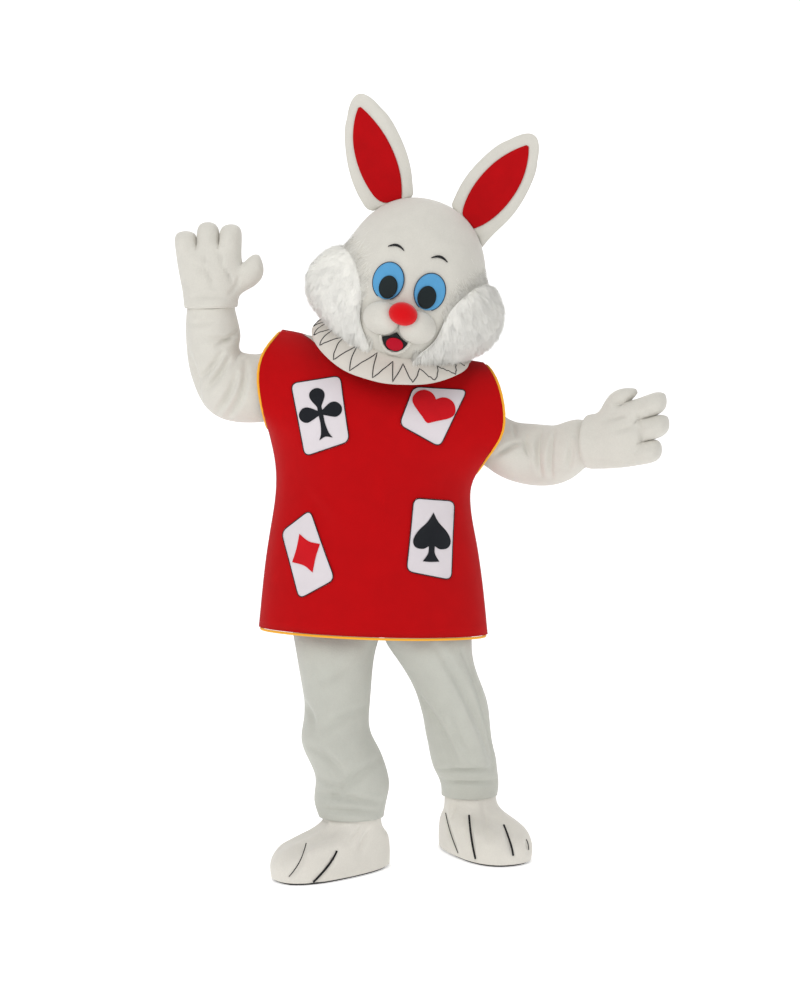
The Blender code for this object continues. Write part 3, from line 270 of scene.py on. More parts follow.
RIGHT_LEG_FOLDS = [
    (0.170, -0.782, 0.329, -1.144, 0.018, -1, 0.016, 0.013),
    (0.240, -0.800, 0.332, -1.130, 0.012, -1, 0.012, 0.010),
    (0.127, -0.930, 0.223, -1.134, 0.008, -1, 0.015, 0.012),
    (0.205, -0.980, 0.265, -1.110, -0.006, -1, 0.013, 0.008),
    (0.176, -1.152, 0.332, -1.150, 0.006, -1, 0.010, 0.013),
    (0.188, -1.188, 0.340, -1.190, 0.004, -1, 0.010, 0.012),
    (0.150, -1.040, 0.290, -1.020, 0.010, 1, 0.014, 0.012),
    (0.180, -1.155, 0.330, -1.150, 0.010, 1, 0.011, 0.012),
    (0.120, -0.920, 0.260, -0.890, 0.010, 1, 0.015, 0.010),
]
leg_left = on_solid("left_leg", "leg_left", LEG_PLUSH, levels=3)
fold(leg_left, LEFT_LEG_FOLDS)
leg_right = on_solid("right_leg", "leg_right", LEG_PLUSH, levels=3)
fold(leg_right, RIGHT_LEG_FOLDS)

# Foot covers
# Big padded plush shoes pulled on over the wearer's own, each on a thin dark sole, with
# the toes marked by stitched lines of black cord.


def plain(name, colour, roughness=0.8, sheen=0.0, bump=0.0):
    """One colour all over, with a fine thread as bumps where bump is given."""
    material = bpy.data.materials.new(name)
    material.use_nodes = True
    shader = material.node_tree.nodes["Principled BSDF"]
    shader.inputs["Base Color"].default_value = colour
    shader.inputs["Roughness"].default_value = roughness
    shader.inputs["Specular IOR Level"].default_value = 0.25
    shader.inputs["Sheen Weight"].default_value = sheen
    if bump:
        nodes, links = material.node_tree.nodes, material.node_tree.links
        place = nodes.new("ShaderNodeTexCoord")
        grain = nodes.new("ShaderNodeTexNoise")
        grain.inputs["Scale"].default_value = 900.0
        rough = nodes.new("ShaderNodeBump")
        rough.inputs["Strength"].default_value = 0.5
        rough.inputs["Distance"].default_value = bump
        links.new(place.outputs["Object"], grain.inputs["Vector"])
        links.new(grain.outputs["Fac"], rough.inputs["Height"])
        links.new(rough.outputs[0], shader.inputs["Normal"])
    return material


BLACK_CORD = plain("black_cord", linear(34, 34, 36), 0.7, bump=0.0004)
SOLE = plain("sole_rubber", linear(70, 69, 68), 0.8)


def laid_on(name, shape):
    """A piece made here, on the costume's one body."""
    piece = bpy.data.objects.new(name, shape)
    bpy.context.scene.collection.objects.link(piece)
    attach(piece, "root")
    return piece


def tube(name, line, radius, material, closed=False):
    """A thin sewn cord along a line of points."""
    curve = bpy.data.curves.new(name, "CURVE")
    curve.dimensions = "3D"
    curve.bevel_depth = radius
    curve.bevel_resolution = 2
    curve.use_fill_caps = True
    spline = curve.splines.new("POLY")
    spline.points.add(len(line) - 1)
    for point, place in zip(spline.points, line):
        point.co = (*place, 1.0)
    spline.use_cyclic_u = closed
    curve.materials.append(material)
    laid_on(name, curve)


def tree_of(*pieces):
    """The pieces' surfaces, for rays to meet."""
    points, faces = [], []
    for piece in pieces:
        start = len(points)
        points += [v.co.copy() for v in piece.data.vertices]
        faces += [tuple(start + i for i in f.vertices) for f in piece.data.polygons]
    return BVHTree.FromPolygons(points, faces)


def from_front(tree, x, z, lift=0.0):
    """The first point of a surface met from the front at x, z, lifted towards the front."""
    hit, _, _, _ = tree.ray_cast(Vector((x, -OUTSIDE, z)), Vector((0, 1, 0)))
    return None if hit is None else hit - Vector((0, lift, 0))


FOOT_PLUSH = plush("foot_plush", linear(224, 220, 211))
# upper end x, z; lower end x, z; bow to the side; radius of the cord
TOE_LINES = {
    "left": [(-0.182, -1.302, -0.224, -1.376, 0.006, 0.0013),
             (-0.099, -1.318, -0.160, -1.392, 0.008, 0.0028)],
    "right": [(0.199, -1.288, 0.232, -1.384, -0.004, 0.0014),
              (0.263, -1.280, 0.278, -1.384, -0.003, 0.0028),
              (0.360, -1.304, 0.381, -1.369, 0.003, 0.0028),
              (0.420, -1.335, 0.426, -1.362, 0.002, 0.0013)],
}
# start x, z; end x, z; bow; side; width; depth
ANKLE_CREASES = {
    "left": [(-0.030, -1.262, -0.070, -1.300, 0.004, -1, 0.010, 0.008),
             (-0.010, -1.275, -0.040, -1.340, -0.006, -1, 0.012, 0.007)],
    "right": [(0.230, -1.235, 0.210, -1.300, 0.003, -1, 0.010, 0.006),
              (0.300, -1.240, 0.310, -1.330, 0.003, -1, 0.010, 0.006)],
}
TOE_DENT, TOE_DENT_WIDE, SOLE_IN = 0.010, 0.012, 0.009
TOE_STEPS, TOE_CORD_OUT, FARTHEST_TOE = 18, 0.4, 0.30
for where, lines in TOE_LINES.items():
    foot = on_solid(f"{where}_foot_cover", f"foot_{where}", FOOT_PLUSH, levels=3)
    fold(foot, [(*line[:5], -1, TOE_DENT_WIDE, TOE_DENT) for line in lines] + ANKLE_CREASES[where])
    sole = on_solid(f"{where}_sole", f"sole_{where}", SOLE, levels=1, sharp=30)
    # the sole is cut a little smaller than the cover that bulges over it
    tread = points_of(sole)
    middle = tread.mean(axis=0) * (1, 1, 0)
    inwards = (tread - middle) * (1, 1, 0)
    far = np.maximum(np.linalg.norm(inwards, axis=1), 0.01)[:, None]
    set_points(sole, tread - inwards / far * SOLE_IN)
    foot_tree = tree_of(foot)
    for number, (x0, z0, x1, z1, bow, radius) in enumerate(lines):
        spots = []
        for share in np.linspace(0, 1, TOE_STEPS):
            bend = 4 * bow * share * (1 - share)
            spots.append(from_front(foot_tree, x0 + (x1 - x0) * share + bend, z0 + (z1 - z0) * share,
                                    radius * TOE_CORD_OUT))
        spots = [s for s in spots if s is not None and s.y < FARTHEST_TOE]
        if len(spots) > 2:
            tube(f"{where}_toe_line_{number + 1}", spots, radius, BLACK_CORD)

# Gloves
# Puffy plush mitts with three fingers and a thumb, pulled over the sleeve ends. The
# palms are creased where the stuffing is stitched down.

# start x, z; end x, z; bow; side; width; depth
PALM_FOLDS_LEFT = [
    (-0.464, 0.247, -0.434, 0.185, 0.003, -1, 0.006, 0.008),
    (-0.406, 0.243, -0.383, 0.198, 0.002, -1, 0.006, 0.008),
    (-0.453, 0.285, -0.462, 0.250, 0.002, -1, 0.006, 0.007),
    (-0.420, 0.285, -0.410, 0.245, 0.002, -1, 0.006, 0.007),
    (-0.480, 0.252, -0.470, 0.215, 0.002, -1, 0.006, 0.006),
    (-0.365, 0.215, -0.392, 0.170, 0.004, -1, 0.007, 0.007),
    (-0.500, 0.160, -0.395, 0.156, 0.004, -1, 0.007, 0.005),
]
PALM_FOLDS_RIGHT = [
    (0.612, -0.172, 0.662, -0.160, 0.002, -1, 0.007, 0.009),
    (0.692, -0.146, 0.704, -0.196, 0.002, -1, 0.007, 0.009),
    (0.700, -0.196, 0.704, -0.240, 0.002, -1, 0.007, 0.009),
    (0.628, -0.200, 0.692, -0.190, 0.002, -1, 0.007, 0.007),
    (0.632, -0.128, 0.664, -0.132, 0.002, -1, 0.007, 0.007),
]
GLOVE_PUFF = 0.0050
for where, folds in (("left", PALM_FOLDS_LEFT), ("right", PALM_FOLDS_RIGHT)):
    glove = on_solid(f"{where}_glove", f"glove_{where}", WHITE_PLUSH)
    puffed = np.array([v.normal for v in glove.data.vertices])
    set_points(glove, points_of(glove) + puffed * GLOVE_PUFF)
    fold(glove, folds)

# Tabard
# Two panels of smooth red felt on a thin foam backing, sewn at the shoulders and below
# the armholes, with a wide neck hole under the head.

RED_FELT = plush("red_felt", linear(184, 7, 16), dark=0.90, grain=520.0, bump=0.0004, sheen=0.04)
# start x, z; end x, z; bow; side; width; depth
TABARD_FOLDS = [
    (-0.215, -0.330, -0.120, -0.470, 0.010, -1, 0.020, 0.004),
    (0.215, -0.400, 0.110, -0.520, -0.010, -1, 0.020, 0.004),
    (-0.020, -0.300, 0.005, -0.640, 0.006, -1, 0.030, 0.004),
    (0.075, -0.260, 0.050, -0.430, 0.008, -1, 0.022, 0.003),
    (-0.200, -0.350, -0.060, -0.460, 0.010, 1, 0.022, 0.004),
    (0.200, -0.380, 0.070, -0.520, -0.010, 1, 0.022, 0.004),
    (0.010, -0.260, -0.010, -0.640, 0.008, 1, 0.030, 0.004),
]
tabard_front = on_solid("felt_tabard_front", "tabard_front", RED_FELT)
tabard_back = on_solid("felt_tabard_back", "tabard_back", RED_FELT)
fold(tabard_front, TABARD_FOLDS)
fold(tabard_back, TABARD_FOLDS)

# Piping of the tabard
# Yellow-orange cotton cord about 8 mm thick, sewn along the armholes and the hem.

PIPING = plain("yellow_piping", linear(242, 172, 48), 0.75, sheen=0.15, bump=0.0004)
# the cord is sewn over the felt's edge, so it lies a little in from the solid's
PIPING_IN = 0.0028
for where, inward in (("armhole_piping_left", 1), ("armhole_piping_right", -1), ("hem_piping", 0)):
    piping = on_solid("cord_" + where, where, PIPING, levels=1, sharp=80)
    set_points(piping, points_of(piping) + (inward * PIPING_IN, 0, 0))

# Card patches and their suit signs
# Four patches of grey-white cloth edged with black cord, each with a flat cut sign sewn
# on its middle. Club and spade are black, heart and diamond a dull red.

CARD_CLOTH = plush("card_cloth", linear(220, 213, 217), dark=0.95, grain=700.0, bump=0.0003, sheen=0.1)
SIGN_BLACK = plush("sign_black", linear(36, 38, 42), dark=0.85, grain=700.0, bump=0.0003, sheen=0.1)
SIGN_RED = plush("sign_red", linear(205, 24, 34), dark=0.86, grain=700.0, bump=0.0003, sheen=0.1)
# corners of each card, seen from the front: upper right, upper left, lower left, lower right
CARDS = {
    "club": ((-0.090, -0.050), (-0.225, -0.071), (-0.187, -0.270), (-0.064, -0.229)),
    "heart": ((0.252, -0.088), (0.104, -0.080), (0.065, -0.184), (0.176, -0.245)),
    "diamond": ((-0.172, -0.409), (-0.254, -0.472), (-0.202, -0.652), (-0.103, -0.596)),
    "spade": ((0.218, -0.388), (0.105, -0.377), (0.085, -0.574), (0.208, -0.602)),
}
CARD_CORNER, CARD_LIFT, CLOTH_THICK, SIGN_LIFT = 0.020, 0.0012, 0.0012, 0.0003
CARD_CORD, CARD_CORD_OUT, CARD_GRID, SIGN_GRID = 0.0014, 0.35, 0.010, 0.008
# one half of each sign from the top down, in shares of its size; the other mirrors it
SIGN_HALVES = {
    "club": [(0, 1), (0.17, 0.95), (0.28, 0.83), (0.29, 0.66), (0.20, 0.47), (0.09, 0.28), (0.09, 0.13),
             (0.30, 0.27), (0.48, 0.35), (0.66, 0.33), (0.80, 0.20), (0.84, 0.04), (0.77, -0.13),
             (0.60, -0.23), (0.42, -0.20), (0.09, -0.06), (0.09, -0.40), (0.15, -0.75), (0.26, -0.98),
             (0, -0.89)],
    "heart": [(0, 0.40), (0.10, 0.50), (0.25, 0.60), (0.45, 0.64), (0.68, 0.60), (0.88, 0.45), (1.0, 0.20),
              (0.98, 0), (0.85, -0.17), (0.60, -0.35), (0.30, -0.54), (0, -0.72)],
    "spade": [(0, 1), (0.22, 0.62), (0.60, 0.22), (0.77, -0.15), (0.66, -0.42), (0.35, -0.48),
              (0.12, -0.36), (0.14, -0.66), (0.34, -0.98), (0, -1.0)],
}
# the diamond sign leans, so its whole outline is given
DIAMOND = [(-0.36, 1.0), (-0.52, 0.21), (-0.75, -0.50), (-0.11, -0.65), (0.36, -1.0), (0.52, -0.21),
           (0.75, 0.50), (0.14, 0.63)]
# size; middle x and z; turn; cloth
SIGNS = {
    "club": (0.070, -0.1425, -0.154, -12, SIGN_BLACK, "black_cloth"),
    "heart": (0.060, 0.157, -0.138, 21, SIGN_RED, "red_plush"),
    "diamond": (0.051, -0.183, -0.527, 0, SIGN_RED, "red_plush"),
    "spade": (0.066, 0.1555, -0.484, 3, SIGN_BLACK, "black_cloth"),
}


def placed(points, x, z, turn):
    """Points turned about the middle and moved to x, z."""
    c, s = math.cos(math.radians(turn)), math.sin(math.radians(turn))
    return [(x + px * c + pz * s, z - px * s + pz * c) for px, pz in points]


def turn_at(before, here, after):
    """How far an outline turns at a point, in degrees."""
    one, two = here - before, after - here
    cosine = one @ two / (np.linalg.norm(one) * np.linalg.norm(two) + 1e-12)
    return math.degrees(math.acos(max(-1, min(1, cosine))))


def softened(outline, steps=4, sharp=62):
    """A closed outline drawn finer, and rounded where it turns gently."""
    outline = np.asarray(outline)
    count = len(outline)
    fine = []
    for i in range(count):
        before, a, b, after = (outline[(i + k) % count] for k in (-1, 0, 1, 2))
        start = (b - a) if turn_at(before, a, b) > sharp else (b - before) / 2
        end = (b - a) if turn_at(a, b, after) > sharp else (after - a) / 2
        for share in np.arange(steps) / steps:
            s2, s3 = share**2, share**3
            fine.append((2 * s3 - 3 * s2 + 1) * a + (s3 - 2 * s2 + share) * start
                        + (3 * s2 - 2 * s3) * b + (s3 - s2) * end)
    return fine


def card_outline(corners, steps=6, along=12):
    """A four-cornered card with round corners and points along its sides."""
    corners = np.array(corners)
    points = []
    for i in range(4):
        before, here, after = corners[i - 1], corners[i], corners[(i + 1) % 4]
        start = here + (before - here) / np.linalg.norm(before - here) * CARD_CORNER
        end = here + (after - here) / np.linalg.norm(after - here) * CARD_CORNER
        for share in np.linspace(0, 1, steps + 1):
            points.append(start * (1 - share) ** 2 + here * 2 * share * (1 - share) + end * share**2)
        last = after + (here - after) / np.linalg.norm(here - after) * CARD_CORNER
        for share in np.linspace(0, 1, along)[1:-1]:
            points.append(end + (last - end) * share)
    return np.array(points)


CLEAR_OF_EDGE = 0.45


def filled(outline, spacing):
    """Points and triangles inside a closed outline, with a grid of points within it."""
    outline = np.asarray(outline)
    after = np.roll(outline, -1, axis=0)
    low, high = outline.min(axis=0), outline.max(axis=0)
    inside = []
    for x in np.arange(low[0] + spacing / 2, high[0], spacing):
        for z in np.arange(low[1] + spacing / 2, high[1], spacing):
            spot, rise, run = np.array((x, z)), after[:, 1] - outline[:, 1], after - outline
            crossed = (outline[:, 1] > z) != (after[:, 1] > z)
            at = outline[:, 0] + (z - outline[:, 1]) / np.where(rise == 0, 1, rise) * run[:, 0]
            share = np.clip(((spot - outline) * run).sum(axis=1) / (run**2).sum(axis=1), 0, 1)
            near = np.linalg.norm(outline + run * share[:, None] - spot, axis=1).min()
            if (crossed & (x < at)).sum() % 2 == 1 and near > spacing * CLEAR_OF_EDGE:
                inside.append(spot)
    plan = [Vector(p) for p in outline] + [Vector(p) for p in inside]
    points, _, faces, _, _, _ = delaunay_2d_cdt(plan, [], [list(range(len(outline)))], 1, 1e-7)
    return [tuple(p) for p in points], [tuple(face) for face in faces]


def drape(name, outline, spacing, ground, lift, material):
    """A flat cut piece of cloth laid on the front of a surface."""
    plan, faces = filled(outline, spacing)
    under = []
    for x, z in plan:
        hit = from_front(ground, x, z, lift)
        under.append((x, hit.y if hit else under[-1][1], z))
    under = np.array(under)
    count = len(plan)
    edges = [(face[k], face[(k + 1) % len(face)]) for face in faces for k in range(len(face))]
    known = set(edges)
    rim = [(a, b) for a, b in edges if (b, a) not in known]
    sides = [(a, b, b + count, a + count) for a, b in rim]
    back = [tuple(count + i for i in reversed(face)) for face in faces]
    work = bmesh.new()
    mesh = bpy.data.meshes.new(name)
    mesh.from_pydata([tuple(p) for p in np.concatenate([under - (0, CLOTH_THICK, 0), under])], [],
                     list(faces) + back + sides)
    work.from_mesh(mesh)
    bmesh.ops.recalc_face_normals(work, faces=work.faces)
    work.to_mesh(mesh)
    work.free()
    mesh.materials.append(material)
    mesh.shade_smooth()
    mesh.set_sharp_from_angle(angle=math.radians(50))
    return laid_on(name, mesh)


tabard_tree = tree_of(tabard_front)
for sign, corners in CARDS.items():
    outline = card_outline(corners)
    card = drape(f"{sign}_card", outline, CARD_GRID, tabard_tree, CARD_LIFT, CARD_CLOTH)
    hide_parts(f"card_{sign}")
    card_tree = tree_of(card)
    size, x, z, turn, cloth, slot_name = SIGNS[sign]
    if sign == "diamond":
        whole = DIAMOND
    else:
        half = SIGN_HALVES[sign]
        whole = [(-px, pz) for px, pz in half] + half[-2:0:-1]
    shape = placed([(px * size, pz * size) for px, pz in softened(whole)], x, z, turn)
    mark = drape(f"{sign}_sign", shape, SIGN_GRID, card_tree, SIGN_LIFT, cloth)
    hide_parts(f"sign_{sign}")
    middle = outline.mean(axis=0)
    out = outline - middle
    inner = middle + out * (1 - CARD_CORD / np.linalg.norm(out, axis=1))[:, None]
    line = [from_front(card_tree, px, pz, CARD_CORD * CARD_CORD_OUT) for px, pz in inner]
    tube(f"{sign}_card_edge", [p for p in line if p is not None], CARD_CORD, BLACK_CORD,
         closed=True)

# Head
# A foam shell about 12 mm thick covered in short white plush, in two halves that meet in
# a seam over the crown. It is pulled down over the wearer's head to the shoulders.

HEAD_MIDDLE = Vector((0.094, -0.03, 0.1835))
HEAD_ROLL, HEAD_NOD, SEAM_NEAR, SEAM_WELD = 15, 5, 0.0006, 0.0009
CROWN_SEAM = (0.222, 0.118, 0.0035, 0.0011)  # upper and lower end in the head's own z, width, depth
cos_r, sin_r = math.cos(math.radians(HEAD_ROLL)), math.sin(math.radians(HEAD_ROLL))
cos_n, sin_n = math.cos(math.radians(HEAD_NOD)), math.sin(math.radians(HEAD_NOD))
head_turn = np.array([[cos_r, 0, sin_r], [0, 1, 0], [-sin_r, 0, cos_r]]) @ np.array(
    [[1, 0, 0], [0, cos_n, -sin_n], [0, sin_n, cos_n]])


def on_body(point):
    """A point of the head's own frame, as the costume's."""
    return Vector(head_turn @ np.asarray(point)) + HEAD_MIDDLE


def sewn_over_the_crown(work):
    """Drops the two facing walls of the crown seam and welds the halves' edges together."""
    # a list, so that the edges are welded in the same order each run
    near = [v for v in work.verts if abs((np.array(v.co - HEAD_MIDDLE) @ head_turn)[0]) < SEAM_NEAR]
    on_seam = set(near)
    walls = [f for f in work.faces if all(v in on_seam for v in f.verts)]
    bmesh.ops.delete(work, geom=walls, context="FACES")
    bmesh.ops.remove_doubles(work, verts=[v for v in near if v.is_valid], dist=SEAM_WELD)


head = on_solid("plush_head", ("head_left", "head_right"), WHITE_PLUSH, joined=sewn_over_the_crown)
# the crown seam shows faintly from the front, as a narrow trough
seam_from, seam_to = (on_body((0, 0, z)) for z in CROWN_SEAM[:2])
fold(head, [(seam_from.x, seam_from.z, seam_to.x, seam_to.z, 0.0, -1, *CROWN_SEAM[2:])], lip=0.2)
head_tree = tree_of(head)


def on_head(x, z, lift):
    """The point of the head's front at x, z of its own frame, lifted towards the front."""
    start = on_body((x, -1.0, z))
    way = (on_body((x, 0.0, z)) - start).normalized()
    hit, _, _, _ = head_tree.ray_cast(start, way)
    return None if hit is None else hit - way * lift


# Ears
# Flat stuffed plush pads, sewn to the crown, each with a satin lining on its front.

EAR_RED = plush("ear_lining_red", linear(182, 7, 18), dark=0.84, grain=600.0, bump=0.0004, sheen=0.08)
EAR_SUNK = 0.0055
for where in ("left", "right"):
    ear = on_solid(f"{where}_ear", f"ear_{where}", WHITE_PLUSH, levels=3, sharp=100)
    lining = on_solid(f"{where}_ear_lining", f"ear_lining_{where}", EAR_RED)
    # the foot of each ear is sewn down into the pile
    towards = np.array(HEAD_MIDDLE) - points_of(ear).mean(axis=0)
    for piece in (ear, lining):
        set_points(piece, points_of(piece) + towards / np.linalg.norm(towards) * EAR_SUNK)

# Face
# Two padded muzzle lobes with a stuffed red nose between them, felt eyes edged in black
# cord, stitched brows, and a felt mouth with its tongue under the lobes.

EYE_BLUE = plush("eye_blue", linear(92, 160, 208), dark=0.9, grain=700.0, bump=0.0002, sheen=0.05)
PUPIL_DARK = plain("pupil_dark", linear(24, 34, 36), 0.6)
NOSE_RED = plush("nose_red", linear(216, 10, 22), dark=0.88, grain=800.0, bump=0.0004, sheen=0.25)
TONGUE_RED = plush("tongue_red", linear(190, 22, 46), dark=0.9, grain=700.0, bump=0.0003, sheen=0.1)
for where in ("left", "right"):
    muzzle = on_solid(f"{where}_muzzle_lobe", f"muzzle_{where}", WHITE_PLUSH, sharp=70)
    on_solid(f"{where}_eye", f"eye_{where}", EYE_BLUE)
    on_solid(f"{where}_pupil", f"pupil_{where}", PUPIL_DARK)
    on_solid(f"{where}_brow", f"brow_{where}", BLACK_CORD, levels=1)
nose = on_solid("stuffed_nose", "nose", NOSE_RED, levels=3, sharp=100)
on_solid("felt_mouth", "mouth", BLACK_CORD)
on_solid("felt_tongue", "tongue", TONGUE_RED)

# the lower lip, a soft roll of white plush round the foot of the mouth
# half width of the mouth, height
MOUTH_EDGE = [(0.041, -0.128), (0.038, -0.140), (0.030, -0.154), (0.016, -0.166), (0.0, -0.170)]
LIP_RADIUS, LIP_OUT = 0.0055, 0.003
whole_edge = [(-x, z) for x, z in MOUTH_EDGE] + MOUTH_EDGE[-2::-1]
lip = [on_head(x, z, LIP_OUT) for x, z in whole_edge]
tube("lower_lip", [p for p in lip if p is not None], LIP_RADIUS, WHITE_PLUSH)

# a dark stitched line round each eye, broken where the muzzle covers it
EYE_AT, EYE_SIZE, EYE_CORD, EYE_OUT = (0.0565, 0.0125), (0.041, 0.050), 0.0011, 0.0044
MUZZLE_AT, MUZZLE_SIZE, MUZZLE_ROOM = (0.049, -0.086), (0.052, 0.046), 1.05
EYE_EDGE = plain("eye_edge_dark", linear(30, 44, 66), 0.7)
for where, side in (("left", -1), ("right", 1)):
    line = []
    for a in np.radians(np.arange(-66, 247, 6)):
        x = side * EYE_AT[0] + EYE_SIZE[0] * math.cos(a)
        z = EYE_AT[1] + EYE_SIZE[1] * math.sin(a)
        across = (x - side * MUZZLE_AT[0]) / MUZZLE_SIZE[0]
        if across**2 + ((z - MUZZLE_AT[1]) / MUZZLE_SIZE[1]) ** 2 > MUZZLE_ROOM:
            line.append(on_head(x, z, EYE_OUT))
    tube(f"{where}_eye_edge", line, EYE_CORD, EYE_EDGE)

# Cheeks
# Pads of long white fur on the lower sides of the head, combed down and outwards, with
# shorter locks on the head round them.

LONG_FUR = plush("long_white_fur", linear(246, 245, 240), dark=0.92, grain=60.0, bump=0.0005, sheen=0.3)
BLEND_FUR = plush("blended_fur", linear(232, 230, 223), dark=0.93, grain=60.0, bump=0.0005, sheen=0.3)
cheeks = [on_solid(f"{side}_cheek", f"cheek_{side}", LONG_FUR)
          for side in ("left", "right")]
TUFTS, LOCK_OUT, LOCK_STRAY, LOCK_SAG, LOCK_SHADE, LOCK_ARCH = 520, 0.42, 0.20, 0.16, 0.17, 0.35
LOCK_REACH, TUFT_PULL = (0.65, 1.1), (0.15, 0.45)  # least and most, in shares
LOCK_RINGS = ((0.0, 1.0), (0.4, 0.85), (0.75, 0.5))  # share of the length, share of the width
LOCK_TWIST, FACES_OUT, DOWNWARDS, ALONG = 0.25, 0.02, (0, 0.25, -1.0), 0.85
# how the light's direction is mixed: off the surface, along the lock, by tuft, by lock
LIGHT_MIX = (0.8, 0.25, 0.6, 0.5)
LOCK_POINTS, LOCK_FACES = 7, ((0, 1, 3), (0, 3, 2), (2, 3, 5), (2, 5, 4), (4, 5, 6))
rng = np.random.default_rng(7)


def long_fur(name, ground, count, length, width, material=LONG_FUR, lift=LOCK_OUT, sideways=1.5,
             share_of=None, shorter=None):
    """Tapered locks on the outer side of a piece, drawn together in tufts and hanging a little.

    share_of(centres) thins them out by place, and shorter(roots) gives a share of the length."""
    mesh = ground.data
    mesh.calc_loop_triangles()
    corners = np.array([t.vertices for t in mesh.loop_triangles])
    points = points_of(ground)
    normals = np.array([v.normal for v in mesh.vertices])
    a, b, c = (points[corners[:, k]] for k in range(3))
    facing = np.cross(b - a, c - a)
    area = np.linalg.norm(facing, axis=1)
    outer = ((a + b + c) / 3 - np.array(HEAD_MIDDLE)) * facing
    area[outer.sum(axis=1) <= FACES_OUT * area] = 0
    if share_of:
        area *= share_of((a + b + c) / 3)
    pick = rng.choice(len(area), count, p=area / area.sum())
    u, v = rng.random(count), rng.random(count)
    u, v = np.where(u + v > 1, 1 - u, u), np.where(u + v > 1, 1 - v, v)
    w = 1 - u - v
    roots = a[pick] * w[:, None] + b[pick] * u[:, None] + c[pick] * v[:, None]
    out = (normals[corners[pick, 0]] * w[:, None] + normals[corners[pick, 1]] * u[:, None]
           + normals[corners[pick, 2]] * v[:, None])
    out /= np.linalg.norm(out, axis=1)[:, None]
    way = out * lift + brushed_down(roots, out, sideways)
    way += rng.normal(0, LOCK_STRAY, way.shape)
    way /= np.linalg.norm(way, axis=1)[:, None]
    reach = length * rng.uniform(*LOCK_REACH, count)[:, None]
    if shorter:
        reach *= shorter(roots)[:, None]
    near = np.full(count, 1e9)
    chosen = np.zeros(count, int)
    for one in rng.choice(count, TUFTS, replace=False):
        away = ((roots - roots[one]) ** 2).sum(axis=1)
        closer = away < near
        near[closer], chosen[closer] = away[closer], one
    tips = roots + way * reach
    tips += (tips[chosen] - tips) * rng.uniform(*TUFT_PULL, count)[:, None]
    side = np.cross(tips - roots, out + rng.normal(0, LOCK_TWIST, way.shape))
    side *= (width / 2 / np.linalg.norm(side, axis=1))[:, None]
    sag = np.array((0, 0, -LOCK_SAG)) * reach
    strands = []
    for share, thick in LOCK_RINGS:
        arch = out * reach * LOCK_ARCH * share * (1 - share)
        middle = roots + (tips - roots) * share + arch + sag * share**2
        strands += [middle - side * thick, middle + side * thick]
    strands.append(tips + sag)
    joined = np.stack(strands, axis=1).reshape(-1, 3)
    base = np.arange(count)[:, None] * LOCK_POINTS
    faces = np.concatenate([base + face for face in LOCK_FACES])
    fur_mesh = bpy.data.meshes.new(name)
    fur_mesh.vertices.add(len(joined))
    fur_mesh.vertices.foreach_set("co", joined.ravel())
    fur_mesh.loops.add(faces.size)
    fur_mesh.loops.foreach_set("vertex_index", faces.ravel())
    fur_mesh.polygons.add(len(faces))
    fur_mesh.polygons.foreach_set("loop_start", np.arange(len(faces)) * 3)
    fur_mesh.update(calc_edges=True)
    fur_mesh.validate()
    fur_mesh.shade_smooth()
    # the pile takes light as the soft surface under it does
    off_it, along_it, by_tuft, by_lock = LIGHT_MIX
    soft = out * off_it + way * along_it + rng.normal(0, LOCK_SHADE, way.shape)[chosen] * by_tuft
    soft += rng.normal(0, LOCK_SHADE, way.shape) * by_lock
    soft /= np.linalg.norm(soft, axis=1)[:, None]
    fur_mesh.normals_split_custom_set_from_vertices(np.repeat(soft, LOCK_POINTS, axis=0))
    fur_mesh.materials.append(material)
    # white pile lets most of the light through to the locks under it
    laid_on(name, fur_mesh).visible_shadow = False


def brushed_down(roots, out, sideways):
    """Down and outwards along the surface, a little towards the back."""
    down = np.array(DOWNWARDS) + (roots - np.array(HEAD_MIDDLE)) * (sideways, 0, 0)
    down = down - out * (down * out).sum(axis=1)[:, None]
    return ALONG * down / np.maximum(np.linalg.norm(down, axis=1), 0.05)[:, None]


LOCKS, LOCK_LONG, LOCK_WIDE = 34000, 0.027, 0.0011
for side, cheek in zip(("left", "right"), cheeks):
    long_fur(f"{side}_cheek_fur", cheek, LOCKS, LOCK_LONG, LOCK_WIDE)
# shorter locks on the head hide the pads' edges, and get shorter still away from them
BLEND_LOCKS, BLEND_REACH, BLEND_LONG = 27000, 0.030, 0.034
BLEND_LIFT, BLEND_SIDEWAYS, BLEND_ENDS, BLEND_SHORTEST = 0.55, 3.0, 0.05, 0.3
# half width and foot of the parts of the face, in the head's own frame, that stay clear of them
FACE_PARTS = ((0.102, -0.050), (0.104, -0.140), (0.055, -1.0))
cheek_tree = tree_of(*cheeks)


def from_cheeks(places):
    """How far each place is from the nearer cheek."""
    return np.array([cheek_tree.find_nearest(Vector(p))[3] for p in places])


def near_cheeks(centres):
    """Thins the locks out away from the pads, and keeps them off the face's own pieces."""
    share = np.exp(-((from_cheeks(centres) / BLEND_REACH) ** 2))
    x, y, z = ((centres - np.array(HEAD_MIDDLE)) @ head_turn).T
    for half_wide, foot_z in FACE_PARTS:
        share *= ~((np.abs(x) < half_wide) & (z > foot_z) & (y < 0))
    return share


def shorter_away(roots):
    """The locks' share of their length, less the farther they are from a cheek."""
    return np.clip(1.0 - from_cheeks(roots) / BLEND_ENDS, BLEND_SHORTEST, 1.0)


long_fur("fur_round_cheeks", head, BLEND_LOCKS, BLEND_LONG, LOCK_WIDE, BLEND_FUR, BLEND_LIFT,
         BLEND_SIDEWAYS, near_cheeks, shorter_away)

# Collar
# A band of white cloth sewn under the edge of the head, with a black cord sewn on it
# in a zigzag.

